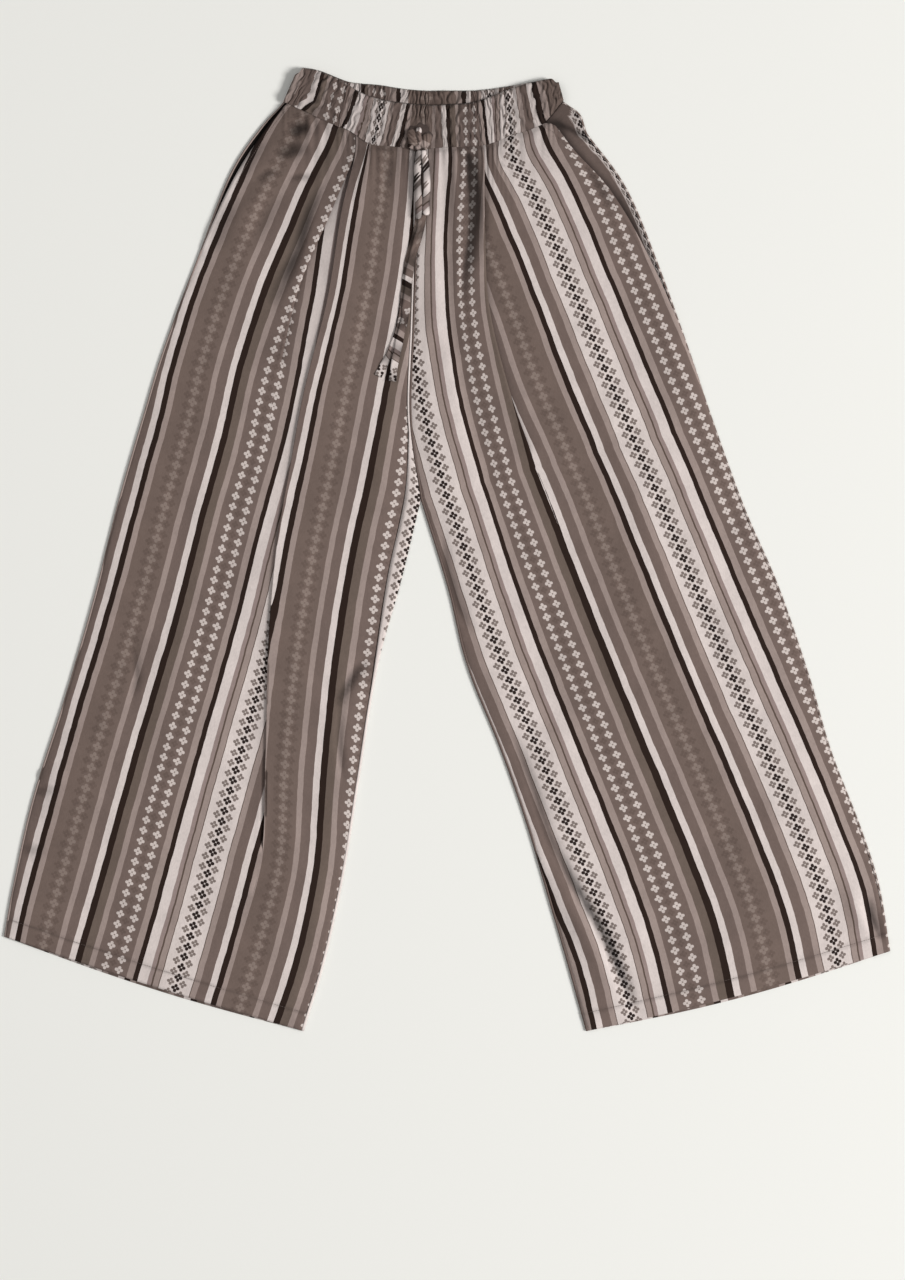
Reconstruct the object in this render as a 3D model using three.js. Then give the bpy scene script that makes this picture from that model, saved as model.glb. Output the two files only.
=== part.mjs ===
// Wide-leg trousers laid flat on their back, in millimetres.
// +X is to the viewer's right, +Y towards the waist, +Z up off the surface they lie on.
// The wearer's right leg is on the -X side.
import * as THREE from 'three';

// Cloth and seams.
const FRONT_CLOTH = 1.6;      // wall of a front panel, measured upwards
const BACK_CLOTH = 1.2;       // wall of a back panel and of a pocket facing
const SEAM_GAP = 0.3;         // clear space between two pieces at a seam
const SEAM_EASE = 0.8;        // the same space along a curved edge made of short straight runs
const HEM_PEEK = 3;           // how far the back hem shows below the front hem

// How high the front lies over the back.
const SIDE_LIFT = 1.6;        // underside of a front panel along its seams
const LOFT = 3.1;             // underside of a front panel away from its seams
const LOFT_REACH = 26;        // from a seam to the full loft
const BAND_LIFT = 4.6;        // underside of the front waistband
const BAND_REACH = 1.5;       // leg rows over which a front panel climbs to the waistband
const HEM_REACH = 0.3;        // leg rows over which it comes down to its hem
const WAIST_BOW_ROWS = 2;     // leg rows over which the waist seam's bow dies away

// Pleats: the upper layer of each ends in a soft ridge that dies away behind it.
const PLEAT_RISE = 3.2;
const PLEAT_EDGE = 4.5;       // width of the ridge's steep side
const PLEAT_BODY = 42;        // how far behind its edge a ridge dies away
const TROUGH_DEPTH = 1.3;
const TROUGH_WIDTH = 16;

// Waistband: a gathered casing in two halves.
const BAND_WALL = 3;
const GATHER_RISE = 1.1;
const GATHERS = 36;
const STEPS_PER_GATHER = 4;
const BAND_LINES = { front: [1, 0.5, 0], back: [1, 0] };   // lines across, from the top edge

// Pocket facings, seen in the slanted pocket mouths.
const FACING_TUCK = 24;       // how far a facing runs in under the front panel
const FACING_LIFT = 1.5;
const POCKET_GAP = 2.5;       // from here on a pocket mouth stands open over its facing
const FACING_ROWS = { right: 2.34, left: 3.34 };   // the leg rows that the facings reach

// Waist tie, a flat band knotted in a bow.
const TIE_WIDTH = 9.5;
const TIE_CLOTH = 1.4;
const LOOP_WIDTH = 7.6;
const LOOP_CLOTH = 3;
const TIE_CLEAR = 0.6;
const TIE_STEP = 9;
const KNOT = { x: -29, y: 451, width: 24, length: 27, height: 5.5, round: 7, bevel: 1.6 };

// Mesh steps.
const STEPS_PER_ROW = 3;
const FACING_COLUMNS = 4;
const BACK_COLUMNS = 18;
const BACK_STEPS_PER_ROW = 2;
const CROTCH_ROW = 5;         // the row that ends at the crotch, on both legs

const table = (columns, lines) => lines.map(
  (line) => Object.fromEntries(columns.map((name, k) => [name, line[k]])));

// A leg row runs across the leg from its -X end to its +X end.
// start and end are where the front panel's cut edges cross it; the pleats and the trough are
// given as distances along the row, with how strongly each stands there, from 0 to 1.
const RIGHT_LEG = table(
  ['fromX', 'fromY', 'toX', 'toY', 'start', 'end', 'pleatA', 'riseA', 'pleatB', 'riseB'], [
    [-179, 491, -32, 440, 4, 157, 80, 0.8, 98, 0.5],
    [-204, 466, -34, 408, 6, 179, 107, 1.0, 119, 0.7],
    [-239, 411, -35, 343, 6, 215, 119, 1.0, 131, 1.0],
    [-275, 318, -38, 245, 0, 248, 117, 0.5, 150, 1.0],
    [-312, 219, -41, 144, 0, 281, 125, 0.0, 162, 1.0],
    [-334, 147, -29, 55, 0, 301, 127, 0.0, 171, 1.0],
    [-361, 54, -51, -36, 0, 308, 130, 0.0, 182, 1.0],
    [-389, -56, -77, -131, 0, 318, 134, 0.0, 199, 0.9],
    [-421, -166, -98, -260, 0, 336, 138, 0.0, 219, 0.7],
    [-456, -276, -114, -359, 0, 352, 142, 0.0, 238, 0.0],
    [-477, -370, -135, -454, 0, 352, 142, 0.0, 238, 0.0],
    [-487, -426, -158, -530, 0, 345, 138, 0.0, 232, 0.0],
  ]);
const LEFT_LEG = table(
  ['fromX', 'fromY', 'toX', 'toY', 'start', 'end', 'trough', 'depth', 'pleatC', 'riseC'], [
    [-32, 440, 127, 489, 0, 145, 34, 0.4, 75, 0.8],
    [-34, 408, 160, 450, 0, 172, 34, 0.9, 76, 1.0],
    [-35, 343, 198, 395, 0, 222, 34, 1.0, 78, 1.0],
    [-38, 245, 231, 316, 0, 272, 43, 1.0, 87, 1.0],
    [-41, 144, 266, 219, 0, 316, 67, 1.0, 114, 0.8],
    [-29, 55, 293, 139, 0, 333, 78, 0.7, 131, 0.2],
    [1, -43, 328, 43, 0, 338, 82, 0.0, 139, 0.0],
    [22, -128, 364, -40, 0, 353, 86, 0.0, 150, 0.0],
    [59, -221, 398, -139, 0, 349, 88, 0.0, 151, 0.0],
    [88, -304, 422, -221, 0, 344, 92, 0.0, 157, 0.0],
    [112, -386, 454, -304, 0, 352, 96, 0.0, 166, 0.0],
    [133, -458, 475, -370, 0, 353, 98, 0.0, 170, 0.0],
    [153, -530, 487, -442, 0, 344, 98, 0.0, 168, 0.0],
  ]);

// The waistband's sections, each from its leg seam to its top edge. The back half lies
// higher than the front half by rise, so that its inside shows above the front edge.
const BAND = table(
  ['seamX', 'seamY', 'topX', 'topY', 'rise'], [
    [-180, 491, -163, 529, 1],
    [-165, 484, -140, 525, 1],
    [-124, 466, -112, 512, 3],
    [-109, 460, -96, 502, 10],
    [-85, 445, -73, 494, 16],
    [-59, 442, -48, 490, 16],
    [-30, 439, -25, 488, 16],
    [-1, 441, -4, 488, 16],
    [31, 442, 26, 490, 14],
    [47, 445, 40, 494, 11],
    [67, 453, 63, 503, 5],
    [106, 467, 90, 512, 1],
    [128, 493, 121, 518, 0],
  ]);

// The tie's runs in plan. Both ends leave the knot under the loops, one on the other.
const TIE_ENDS = {
  tie_end_right: [[-29, 436.8], [-28.5, 415], [-28, 395], [-28.5, 375], [-31, 358], [-35, 343],
    [-41, 322], [-45, 300], [-47, 278], [-49, 258], [-54, 236], [-61, 218], [-69, 203], [-76, 190]],
  tie_end_left: [[-26, 436.8], [-25.5, 415], [-25, 395], [-25.5, 375], [-28, 358], [-32, 341],
    [-38, 320], [-42, 298], [-44, 276], [-46, 256], [-51, 234], [-55, 216], [-58, 200], [-60, 184]],
};
const TIE_LOOPS = {
  tie_loop_right: [[-31.4, 436.8], [-31.8, 415], [-32, 395], [-31.6, 378], [-31, 362]],
  tie_loop_left: [[-23.2, 436.8], [-22.8, 415], [-22.6, 395], [-22.4, 380], [-22.6, 366]],
};

// Each leg: its rows, which end of a row is the inner one, and how far its hem sags midway.
const LEGS = {
  right: { rows: RIGHT_LEG, innerAtEnd: true, sag: 3 },
  left: { rows: LEFT_LEG, innerAtEnd: false, sag: 5 },
};

// Colours of the printed cloth, as the eye mixes them from a step away.
const CLOTH_COLOUR = 0x8a7b75;
const FACING_COLOUR = 0x6d605a;
const TIE_COLOUR = 0x9a8d86;

const clamp = (value, low, high) => Math.min(high, Math.max(low, value));
const mix = (a, b, k) => a + (b - a) * k;

function soft(k) {
  const c = clamp(k, 0, 1);
  return c * c * (3 - 2 * c);
}

// Reads a column of a table between its rows, on a smooth curve that may turn at one row.
function along(rows, name, t, corner = -1) {
  const k = clamp(Math.floor(t), 0, rows.length - 2);
  const u = t - k;
  const b = rows[k][name];
  const c = rows[k + 1][name];
  const a = k > 0 && k !== corner ? rows[k - 1][name] : 2 * b - c;
  const d = k + 2 < rows.length && k + 1 !== corner ? rows[k + 2][name] : 2 * c - b;
  return b + 0.5 * u * (c - a + u * (2 * a - 5 * b + 4 * c - d + u * (3 * (b - c) + d - a)));
}

// The waistband's seam as a height over x. The back half's seam lies higher.
function seamY(x, isBack) {
  let k = 0;
  while (k < BAND.length - 2 && BAND[k + 1].seamX < x) k += 1;
  const run = BAND[k + 1].seamX - BAND[k].seamX;
  const t = clamp(k + (x - BAND[k].seamX) / run, 0, BAND.length - 1);
  return along(BAND, 'seamY', t) + (isBack ? along(BAND, 'rise', t) : 0);
}

// The two ends of a leg row in plan, at row t, which may lie between two rows of the table.
function rowEnds(leg, t) {
  const [fromCorner, toCorner] = leg.innerAtEnd ? [-1, CROTCH_ROW] : [CROTCH_ROW, -1];
  const from = new THREE.Vector2(
    along(leg.rows, 'fromX', t, fromCorner), along(leg.rows, 'fromY', t, fromCorner));
  const to = new THREE.Vector2(
    along(leg.rows, 'toX', t, toCorner), along(leg.rows, 'toY', t, toCorner));
  return { from, to, length: from.distanceTo(to) };
}

// A point of a leg in plan, at a distance along row t. The first row follows the waist seam,
// the last one the sagging hem.
function legPoint(leg, t, distance, isBack = false) {
  const { from, to, length } = rowEnds(leg, t);
  const point = from.lerp(to, distance / length);
  const { fromX, fromY, toX, toY } = leg.rows[0];
  const straightY = fromY + (point.x - fromX) * (toY - fromY) / (toX - fromX);
  const slope = (seamY(point.x + 1, isBack) - seamY(point.x - 1, isBack)) / 2;
  const ease = SEAM_EASE * Math.hypot(1, slope);
  const waist = clamp(1 - t / WAIST_BOW_ROWS, 0, 1) ** 2;
  const hem = soft(t - (leg.rows.length - 2)) * Math.sin(Math.PI * distance / length);
  point.y += waist * (seamY(point.x, isBack) - ease - straightY);
  point.y -= hem * (leg.sag + (isBack ? HEM_PEEK : 0));
  return point;
}

// A closed wall between two grids of points. Grid rows run down the piece, towards -Y, and the
// points of a row run towards +X.
function wall(upper, lower) {
  const rows = upper.length;
  const columns = upper[0].length;
  const at = (i, j) => i * columns + j;
  const under = rows * columns;
  const index = [];
  for (let i = 0; i + 1 < rows; i += 1) {
    for (let j = 0; j + 1 < columns; j += 1) {
      const [a, b, c, d] = [at(i, j), at(i + 1, j), at(i + 1, j + 1), at(i, j + 1)];
      index.push(a, b, c, a, c, d);
      index.push(under + a, under + c, under + b, under + a, under + d, under + c);
    }
  }
  const rim = [];
  for (let i = 0; i < rows - 1; i += 1) rim.push(at(i, 0));
  for (let j = 0; j < columns - 1; j += 1) rim.push(at(rows - 1, j));
  for (let i = rows - 1; i > 0; i -= 1) rim.push(at(i, columns - 1));
  for (let j = columns - 1; j > 0; j -= 1) rim.push(at(0, j));
  rim.forEach((p, k) => {
    const q = rim[(k + 1) % rim.length];
    index.push(p, under + p, under + q, p, under + q, q);
  });
  const points = [...upper.flat(), ...lower.flat()];
  const geometry = new THREE.BufferGeometry();
  geometry.setAttribute('position',
    new THREE.Float32BufferAttribute(points.flatMap((p) => p.toArray()), 3));
  geometry.setIndex(index);
  geometry.computeVertexNormals();
  return geometry;
}

// A grid of points from a plan position and a height for each step.
function grid(rowSteps, columnsAt, pointAt) {
  return rowSteps.map((t) => columnsAt(t).map((column) => pointAt(t, column)));
}

const steps = (from, to, count) => Array.from(
  { length: count + 1 }, (_, k) => mix(from, to, k / count));

const raised = (points, height) => points.map(
  (row) => row.map((p) => new THREE.Vector3(p.x, p.y, p.z + height)));

// How far a ridge stands at a distance from its steep edge: 1 at the edge, dying away behind
// it over the pleat's body, and falling off in front of it.
function ridge(behind) {
  return behind >= 0 ? soft(1 - behind / PLEAT_BODY) : soft(1 + behind / PLEAT_EDGE);
}

// The underside of a front panel above the surface, at row t and a distance along it.
function frontLift(leg, t, distance) {
  const { rows, innerAtEnd } = leg;
  const value = (name) => along(rows, name, t);
  const { length } = rowEnds(leg, t);
  const start = value('start');
  const end = Math.min(value('end'), length);
  const mouth = clamp((innerAtEnd ? start : length - end) / POCKET_GAP, 0, 1);
  const fromStart = soft((distance - start) / LOFT_REACH);
  const fromEnd = soft((end - distance) / LOFT_REACH);
  const outer = innerAtEnd ? fromStart : fromEnd;
  const inner = innerAtEnd ? fromEnd : fromStart;
  const fromHem = soft((rows.length - 1 - t) / HEM_REACH);
  const full = Math.min(Math.max(outer, mouth), inner, fromHem);
  const climb = soft(1 - t / BAND_REACH);
  const folds = innerAtEnd
    ? value('riseA') * ridge(value('pleatA') - distance)
      + value('riseB') * ridge(distance - value('pleatB'))
    : value('riseC') * ridge(value('pleatC') - distance);
  const hollow = innerAtEnd ? 0
    : value('depth') * soft(1 - Math.abs(distance - value('trough')) / TROUGH_WIDTH);
  return mix(SIDE_LIFT, LOFT, full) + climb * (BAND_LIFT - LOFT)
    + PLEAT_RISE * clamp(folds, 0, 1) - TROUGH_DEPTH * hollow * full;
}

// The distances at which a front panel's mesh crosses row t, closer together at its pleats.
function frontColumns(leg, t) {
  const value = (name) => along(leg.rows, name, t);
  const { length } = rowEnds(leg, t);
  const end = Math.min(value('end'), length);
  const stops = leg.innerAtEnd
    ? [[value('pleatA'), 6], [value('pleatA') + PLEAT_EDGE, 1], [value('pleatB') - PLEAT_EDGE, 1],
      [value('pleatB'), 1], [end, 9]]
    : [[value('trough') - TROUGH_WIDTH, 2], [value('trough'), 1],
      [value('trough') + TROUGH_WIDTH, 1], [value('pleatC'), 3],
      [value('pleatC') + PLEAT_EDGE, 1], [end, 9]];
  const columns = [value('start')];
  stops.forEach(([stop, count]) => {
    const last = columns[columns.length - 1];
    for (let k = 1; k <= count; k += 1) columns.push(mix(last, stop, k / count));
  });
  const inset = SEAM_GAP / 2;
  columns[0] += inset;
  columns[columns.length - 1] -= inset;
  return columns;
}

function frontPanel(leg) {
  const last = leg.rows.length - 1;
  const lower = grid(steps(0, last, last * STEPS_PER_ROW), (t) => frontColumns(leg, t),
    (t, distance) => {
      const { x, y } = legPoint(leg, t, distance);
      return new THREE.Vector3(x, y, frontLift(leg, t, distance));
    });
  return { upper: raised(lower, FRONT_CLOTH), lower };
}

function backPanel(leg) {
  const last = leg.rows.length - 1;
  const inset = SEAM_GAP / 2;
  const lower = grid(steps(0, last, last * BACK_STEPS_PER_ROW),
    (t) => steps(inset, rowEnds(leg, t).length - inset, BACK_COLUMNS),
    (t, distance) => {
      const { x, y } = legPoint(leg, t, distance, true);
      return new THREE.Vector3(x, y, 0);
    });
  return { upper: raised(lower, BACK_CLOTH), lower };
}

// A pocket facing: from the side seam to a little way under the front panel's slanted edge.
function pocketFacing(leg, lastRow) {
  const span = (t) => (leg.innerAtEnd
    ? [SEAM_GAP, along(leg.rows, 'start', t) + FACING_TUCK]
    : [along(leg.rows, 'end', t) - FACING_TUCK, rowEnds(leg, t).length - SEAM_GAP]);
  const lower = grid(steps(0, lastRow, Math.round(lastRow * STEPS_PER_ROW)),
    (t) => steps(...span(t), FACING_COLUMNS),
    (t, distance) => {
      const { x, y } = legPoint(leg, t, distance);
      return new THREE.Vector3(x, y, FACING_LIFT);
    });
  return { upper: raised(lower, BACK_CLOTH), lower };
}

// Half of the waistband: a gathered wall whose waves stand on its upper face only.
function waistbandHalf(isBack) {
  const count = GATHERS * STEPS_PER_GATHER;
  const lift = isBack ? 0 : BAND_LIFT;
  const lines = isBack ? BAND_LINES.back : BAND_LINES.front;
  const place = (w, v) => {
    const t = w * (BAND.length - 1);
    const rise = isBack ? along(BAND, 'rise', t) : 0;
    const k = Math.min(Math.floor(t), BAND.length - 2);
    const seamX = mix(BAND[k].seamX, BAND[k + 1].seamX, t - k);
    const x = mix(seamX, along(BAND, 'topX', t), v);
    const y = mix(along(BAND, 'seamY', t), along(BAND, 'topY', t), v) + rise;
    return new THREE.Vector3(x, y, lift);
  };
  const lower = grid(lines, () => steps(0, 1, count), (v, w) => place(w, v));
  const upper = grid(lines, () => steps(0, 1, count), (v, w) => {
    const uneven = 0.75 + 0.25 * Math.sin(w * 41 + v * 1.7);
    const wave = GATHER_RISE * uneven * (0.5 - 0.5 * Math.cos(2 * Math.PI * GATHERS * w));
    return place(w, v).add(new THREE.Vector3(0, 0, BAND_WALL + wave));
  });
  return { upper, lower };
}

// The height of the topmost cloth at a point in plan, read from the upper faces of pieces.
function topAt(pieces, x, y) {
  let top = 0;
  const triangle = new THREE.Triangle();
  const probe = new THREE.Vector3(x, y, 0);
  const weights = new THREE.Vector3();
  const test = (p, q, r) => {
    triangle.a.set(p.x, p.y, 0);
    triangle.b.set(q.x, q.y, 0);
    triangle.c.set(r.x, r.y, 0);
    triangle.getBarycoord(probe, weights);
    if (Math.min(weights.x, weights.y, weights.z) < 0) return;
    top = Math.max(top, weights.x * p.z + weights.y * q.z + weights.z * r.z);
  };
  pieces.forEach(({ upper }) => {
    for (let i = 0; i + 1 < upper.length; i += 1) {
      for (let j = 0; j + 1 < upper[i].length; j += 1) {
        test(upper[i][j], upper[i + 1][j], upper[i + 1][j + 1]);
        test(upper[i][j], upper[i + 1][j + 1], upper[i][j + 1]);
      }
    }
  });
  return top;
}

// A flat band laid on the pieces below it, along a route in plan.
function laidBand(route, width, thickness, lift, pieces) {
  const curve = new THREE.CatmullRomCurve3(route.map(([x, y]) => new THREE.Vector3(x, y, 0)));
  const count = Math.ceil(curve.getLength() / TIE_STEP);
  const sections = steps(0, 1, count).map((k) => {
    const centre = curve.getPointAt(k);
    const ahead = curve.getTangentAt(k);
    const side = new THREE.Vector3(-ahead.y, ahead.x, 0).multiplyScalar(width / 2);
    const row = [centre.clone().sub(side), centre.clone().add(side)];
    return { row, top: Math.max(...row.concat(centre).map((p) => topAt(pieces, p.x, p.y))) };
  });
  const upper = sections.map(({ row }, i) => {
    const near = sections.slice(Math.max(0, i - 1), i + 2).map(({ top }) => top);
    return row.map((p) => new THREE.Vector3(p.x, p.y, Math.max(...near) + lift + thickness));
  });
  return { upper, lower: raised(upper, -thickness) };
}

// The bow's knot, a soft pad on the waistband.
function knot(pieces) {
  const [w, l, r] = [KNOT.width / 2, KNOT.length / 2, KNOT.round];
  const shape = new THREE.Shape();
  shape.absarc(w - r, -l + r, r, -Math.PI / 2, 0);
  shape.absarc(w - r, l - r, r, 0, Math.PI / 2);
  shape.absarc(-w + r, l - r, r, Math.PI / 2, Math.PI);
  shape.absarc(-w + r, -l + r, r, Math.PI, 1.5 * Math.PI);
  const geometry = new THREE.ExtrudeGeometry(shape, {
    depth: KNOT.height - 2 * KNOT.bevel,
    curveSegments: 4,
    bevelThickness: KNOT.bevel,
    bevelSize: KNOT.bevel,
    bevelOffset: -KNOT.bevel,
    bevelSegments: 2,
  });
  const under = Math.max(...steps(-w, w, 4).flatMap(
    (dx) => steps(-l, l, 4).map((dy) => topAt(pieces, KNOT.x + dx, KNOT.y + dy))));
  return { geometry, z: under + SEAM_GAP + KNOT.bevel };
}

const trousers = new THREE.Group();

function add(name, geometry, colour, roughness = 0.85) {
  const material = new THREE.MeshStandardMaterial({ color: colour, roughness, metalness: 0 });
  const mesh = new THREE.Mesh(geometry, material);
  mesh.name = name;
  trousers.add(mesh);
  return mesh;
}

const fronts = Object.values(LEGS).map(frontPanel);
const bandFront = waistbandHalf(false);
const bandBack = waistbandHalf(true);
Object.entries(LEGS).forEach(([side, leg], k) => {
  add(`front_${side}_leg`, wall(fronts[k].upper, fronts[k].lower), CLOTH_COLOUR);
  const back = backPanel(leg);
  add(`back_${side}_leg`, wall(back.upper, back.lower), CLOTH_COLOUR);
  const facing = pocketFacing(leg, FACING_ROWS[side]);
  add(`pocket_facing_${side}`, wall(facing.upper, facing.lower), FACING_COLOUR);
});
add('waistband_front', wall(bandFront.upper, bandFront.lower), CLOTH_COLOUR);
add('waistband_back', wall(bandBack.upper, bandBack.lower), CLOTH_COLOUR);

const tied = knot([bandFront, ...fronts]);
add('tie_knot', tied.geometry, TIE_COLOUR).position.set(KNOT.x, KNOT.y, tied.z);
Object.entries(TIE_ENDS).forEach(([name, route], k) => {
  const lift = TIE_CLEAR + k * (TIE_CLOTH + TIE_CLEAR);
  const { upper, lower } = laidBand(route, TIE_WIDTH, TIE_CLOTH, lift, fronts);
  add(name, wall(upper, lower), TIE_COLOUR);
});
Object.entries(TIE_LOOPS).forEach(([name, route]) => {
  const lift = TIE_CLEAR + 2 * (TIE_CLOTH + TIE_CLEAR);
  const { upper, lower } = laidBand(route, LOOP_WIDTH, LOOP_CLOTH, lift, fronts);
  add(name, wall(upper, lower), TIE_COLOUR);
});

export default trousers;
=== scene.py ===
# %% [markdown]
# # Wide-leg trousers laid flat
#
# These are summer trousers of thin printed viscose, laid on their back and seen from straight
# above. The cloth is striped along the grain, with rows of small four-petal flowers in some of
# the stripes. An elastic casing gathers the waist, and a band of the same cloth is tied in a bow.
#
# Every length below is in millimetres and becomes metres only when a mesh is made, because a
# maker of clothes thinks in millimetres. +X is to the viewer's right, +Y towards the waist, and
# +Z up, off the surface that the trousers lie on.

# %% Load the solids that the cloth is laid on
import functools
import math

import bpy
import numpy as np
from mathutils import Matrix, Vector


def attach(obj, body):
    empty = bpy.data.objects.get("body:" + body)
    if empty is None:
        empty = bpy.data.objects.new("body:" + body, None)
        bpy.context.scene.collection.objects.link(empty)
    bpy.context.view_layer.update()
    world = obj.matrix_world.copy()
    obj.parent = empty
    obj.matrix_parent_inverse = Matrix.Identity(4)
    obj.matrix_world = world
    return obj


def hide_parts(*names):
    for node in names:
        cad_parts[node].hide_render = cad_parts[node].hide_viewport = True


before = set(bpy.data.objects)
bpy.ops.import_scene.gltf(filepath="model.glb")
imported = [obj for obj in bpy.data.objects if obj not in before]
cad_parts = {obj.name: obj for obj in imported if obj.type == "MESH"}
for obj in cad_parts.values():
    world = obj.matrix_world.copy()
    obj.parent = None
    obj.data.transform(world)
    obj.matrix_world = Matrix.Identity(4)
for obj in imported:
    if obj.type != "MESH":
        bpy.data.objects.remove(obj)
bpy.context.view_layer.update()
MM = 0.001

# %% [markdown]
# ## The camera
#
# The camera hangs straight above the cloth, so nothing is foreshortened. A long lens from far
# away would do, and so would an orthographic camera. The long lens was chosen because a real
# photographer on a ladder has one, and because the raised waist then looks a hair larger, as it
# should.

# %% Camera
VIEW_HEIGHT = 1408.0  # what the long side of the picture takes in
VIEW_CENTRE = (6.0, -100.0)
CAMERA_HEIGHT = 3600.0
SENSOR = 36.0
SEEN_FROM, SEEN_TO = 0.1, 20.0  # in metres from the lens


def put(name, data):
    """An object in the scene, at the origin."""
    made = bpy.data.objects.new(name, data)
    bpy.context.collection.objects.link(made)
    return made


camera = put("camera", bpy.data.cameras.new("camera"))
camera.data.sensor_width = SENSOR
camera.data.lens = SENSOR * CAMERA_HEIGHT / VIEW_HEIGHT
camera.data.clip_start, camera.data.clip_end = SEEN_FROM, SEEN_TO
camera.location = (VIEW_CENTRE[0] * MM, VIEW_CENTRE[1] * MM, CAMERA_HEIGHT * MM)
bpy.context.scene.camera = camera
bpy.context.scene.view_settings.view_transform = "Standard"
print("lens", round(camera.data.lens, 1), "mm")

# %% [markdown]
# ## Reading shapes from short tables
#
# A leg is described by rows drawn across it from the waist to the hem. A table of a dozen rows
# is easy to correct against a picture, and a smooth curve through its numbers gives every point
# between them. The alternative, one long list of outline points, is harder to read and says
# nothing about what lies inside the outline.

# %% Tables and smooth curves through them
def table(columns, rows):
    """A table as a dictionary: the name of each column, and its numbers from top to bottom."""
    return dict(zip(columns.split(), np.array(rows, float).T))


def soft(k):
    """An even start and stop between 0 and 1."""
    k = np.clip(k, 0.0, 1.0)
    return k * k * (3 - 2 * k)


def bell(k):
    """1 at 0, falling away softly on both sides."""
    return np.exp(-(k ** 2))


def mix(a, b, k):
    return a + (b - a) * k


def along(values, t, corner=-1):
    """Reads a column at row t, which may lie between two rows. The curve may turn at one row."""
    t = np.asarray(t, float)
    last = len(values) - 1
    k = np.clip(np.floor(t).astype(int), 0, last - 1)
    u = t - k
    b, c = values[k], values[k + 1]
    a = np.where((k > 0) & (k != corner), values[np.maximum(k - 1, 0)], 2 * b - c)
    d = np.where((k + 2 <= last) & (k + 1 != corner), values[np.minimum(k + 2, last)], 2 * c - b)
    return b + 0.5 * u * (c - a + u * (2 * a - 5 * b + 4 * c - d + u * (3 * (b - c) + d - a)))


# %% [markdown]
# ## The rows of the two legs
#
# Each row runs from the -X side of a leg to its +X side. `start` and `end` are where the front
# panel's cut edges cross it, so on the side of a pocket the facing shows beyond them. The
# second table of each leg says where the printed stripes cross the same rows. A stripe is
# named by its place in the print, in millimetres of flat cloth counted outwards from the centre
# front. At a pleat the print jumps, because some cloth is tucked out of sight: the numbers
# before and after the pleat differ by what it hides.

# %% Rows across the legs
RIGHT_LEG = table("from_x from_y to_x to_y start end", [
    [-179, 491, -32, 440, 4, 157],
    [-204, 466, -34, 408, 6, 179],
    [-239, 411, -35, 343, 6, 215],
    [-275, 318, -38, 245, 0, 248],
    [-312, 219, -41, 144, 0, 281],
    [-334, 147, -29, 55, 0, 301],
    [-361, 54, -51, -36, 0, 308],
    [-389, -56, -77, -131, 0, 318],
    [-421, -166, -98, -260, 0, 336],
    [-456, -276, -114, -359, 0, 352],
    [-477, -370, -135, -454, 0, 352],
    [-487, -426, -158, -530, 0, 345],
])
RIGHT_PRINT = table("out d312 a a_before a_after b b_before b_after d163 d155 d143 d82 inner", [
    [379, 58, 82.0, 283, 228, 83.6, 228, 176, 97.4, 98, 101, 153, 79],
    [384, 74, 106.7, 276, 230, 108.3, 230, 176, 118.4, 119, 126.5, 177, 80],
    [391.5, 82, 118.8, 275, 236, 129.8, 226, 171, 138, 142, 154, 209, 76.5],
    [395, 79, 116.6, 276, 260, 150.2, 226, 169, 157, 162, 173, 230, 65],
    [398.5, 84, 129.8, 265, 265, 161.7, 232.5, 169, 168.5, 175.5, 187, 247, 47],
    [403, 90, 135.5, 265, 265, 170.5, 229, 167, 175, 183, 195, 255, 39],
    [404.5, 91, 136.6, 265, 265, 181.5, 219, 163.8, 182.2, 189.8, 202.4, 262, 39.5],
    [403, 91, 136.9, 265, 265, 198.6, 202, 151.5, 199, 199.4, 211, 271, 39.5],
    [402, 90, 136.4, 265, 265, 231, 170, 144, 231.4, 231.8, 232.2, 294, 40.5],
    [406, 94, 140.7, 265, 265, 259.6, 146.3, 145.8, 260, 260.4, 261, 318.5, 48.5],
    [402, 89, 135.8, 265, 265, 255.7, 146.3, 145.8, 256.1, 256.5, 257, 319.6, 49.5],
    [400, 82, 129.0, 265, 265, 248.5, 146.3, 145.8, 248.9, 249.3, 250, 311, 48.5],
])
LEFT_LEG = table("from_x from_y to_x to_y start end trough depth", [
    [-32, 440, 127, 489, 0, 145, 34, 0.4],
    [-34, 408, 160, 450, 0, 172, 34, 0.9],
    [-35, 343, 198, 395, 0, 222, 34, 1.0],
    [-38, 245, 231, 316, 0, 272, 43, 1.0],
    [-41, 144, 266, 219, 0, 316, 67, 1.0],
    [-29, 55, 293, 139, 0, 333, 78, 0.7],
    [1, -43, 328, 43, 0, 338, 82, 0.0],
    [22, -128, 364, -40, 0, 353, 86, 0.0],
    [59, -221, 398, -139, 0, 349, 88, 0.0],
    [88, -304, 422, -221, 0, 344, 92, 0.0],
    [112, -386, 454, -304, 0, 352, 96, 0.0],
    [133, -458, 475, -370, 0, 353, 98, 0.0],
    [153, -530, 487, -442, 0, 344, 98, 0.0],
])
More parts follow.
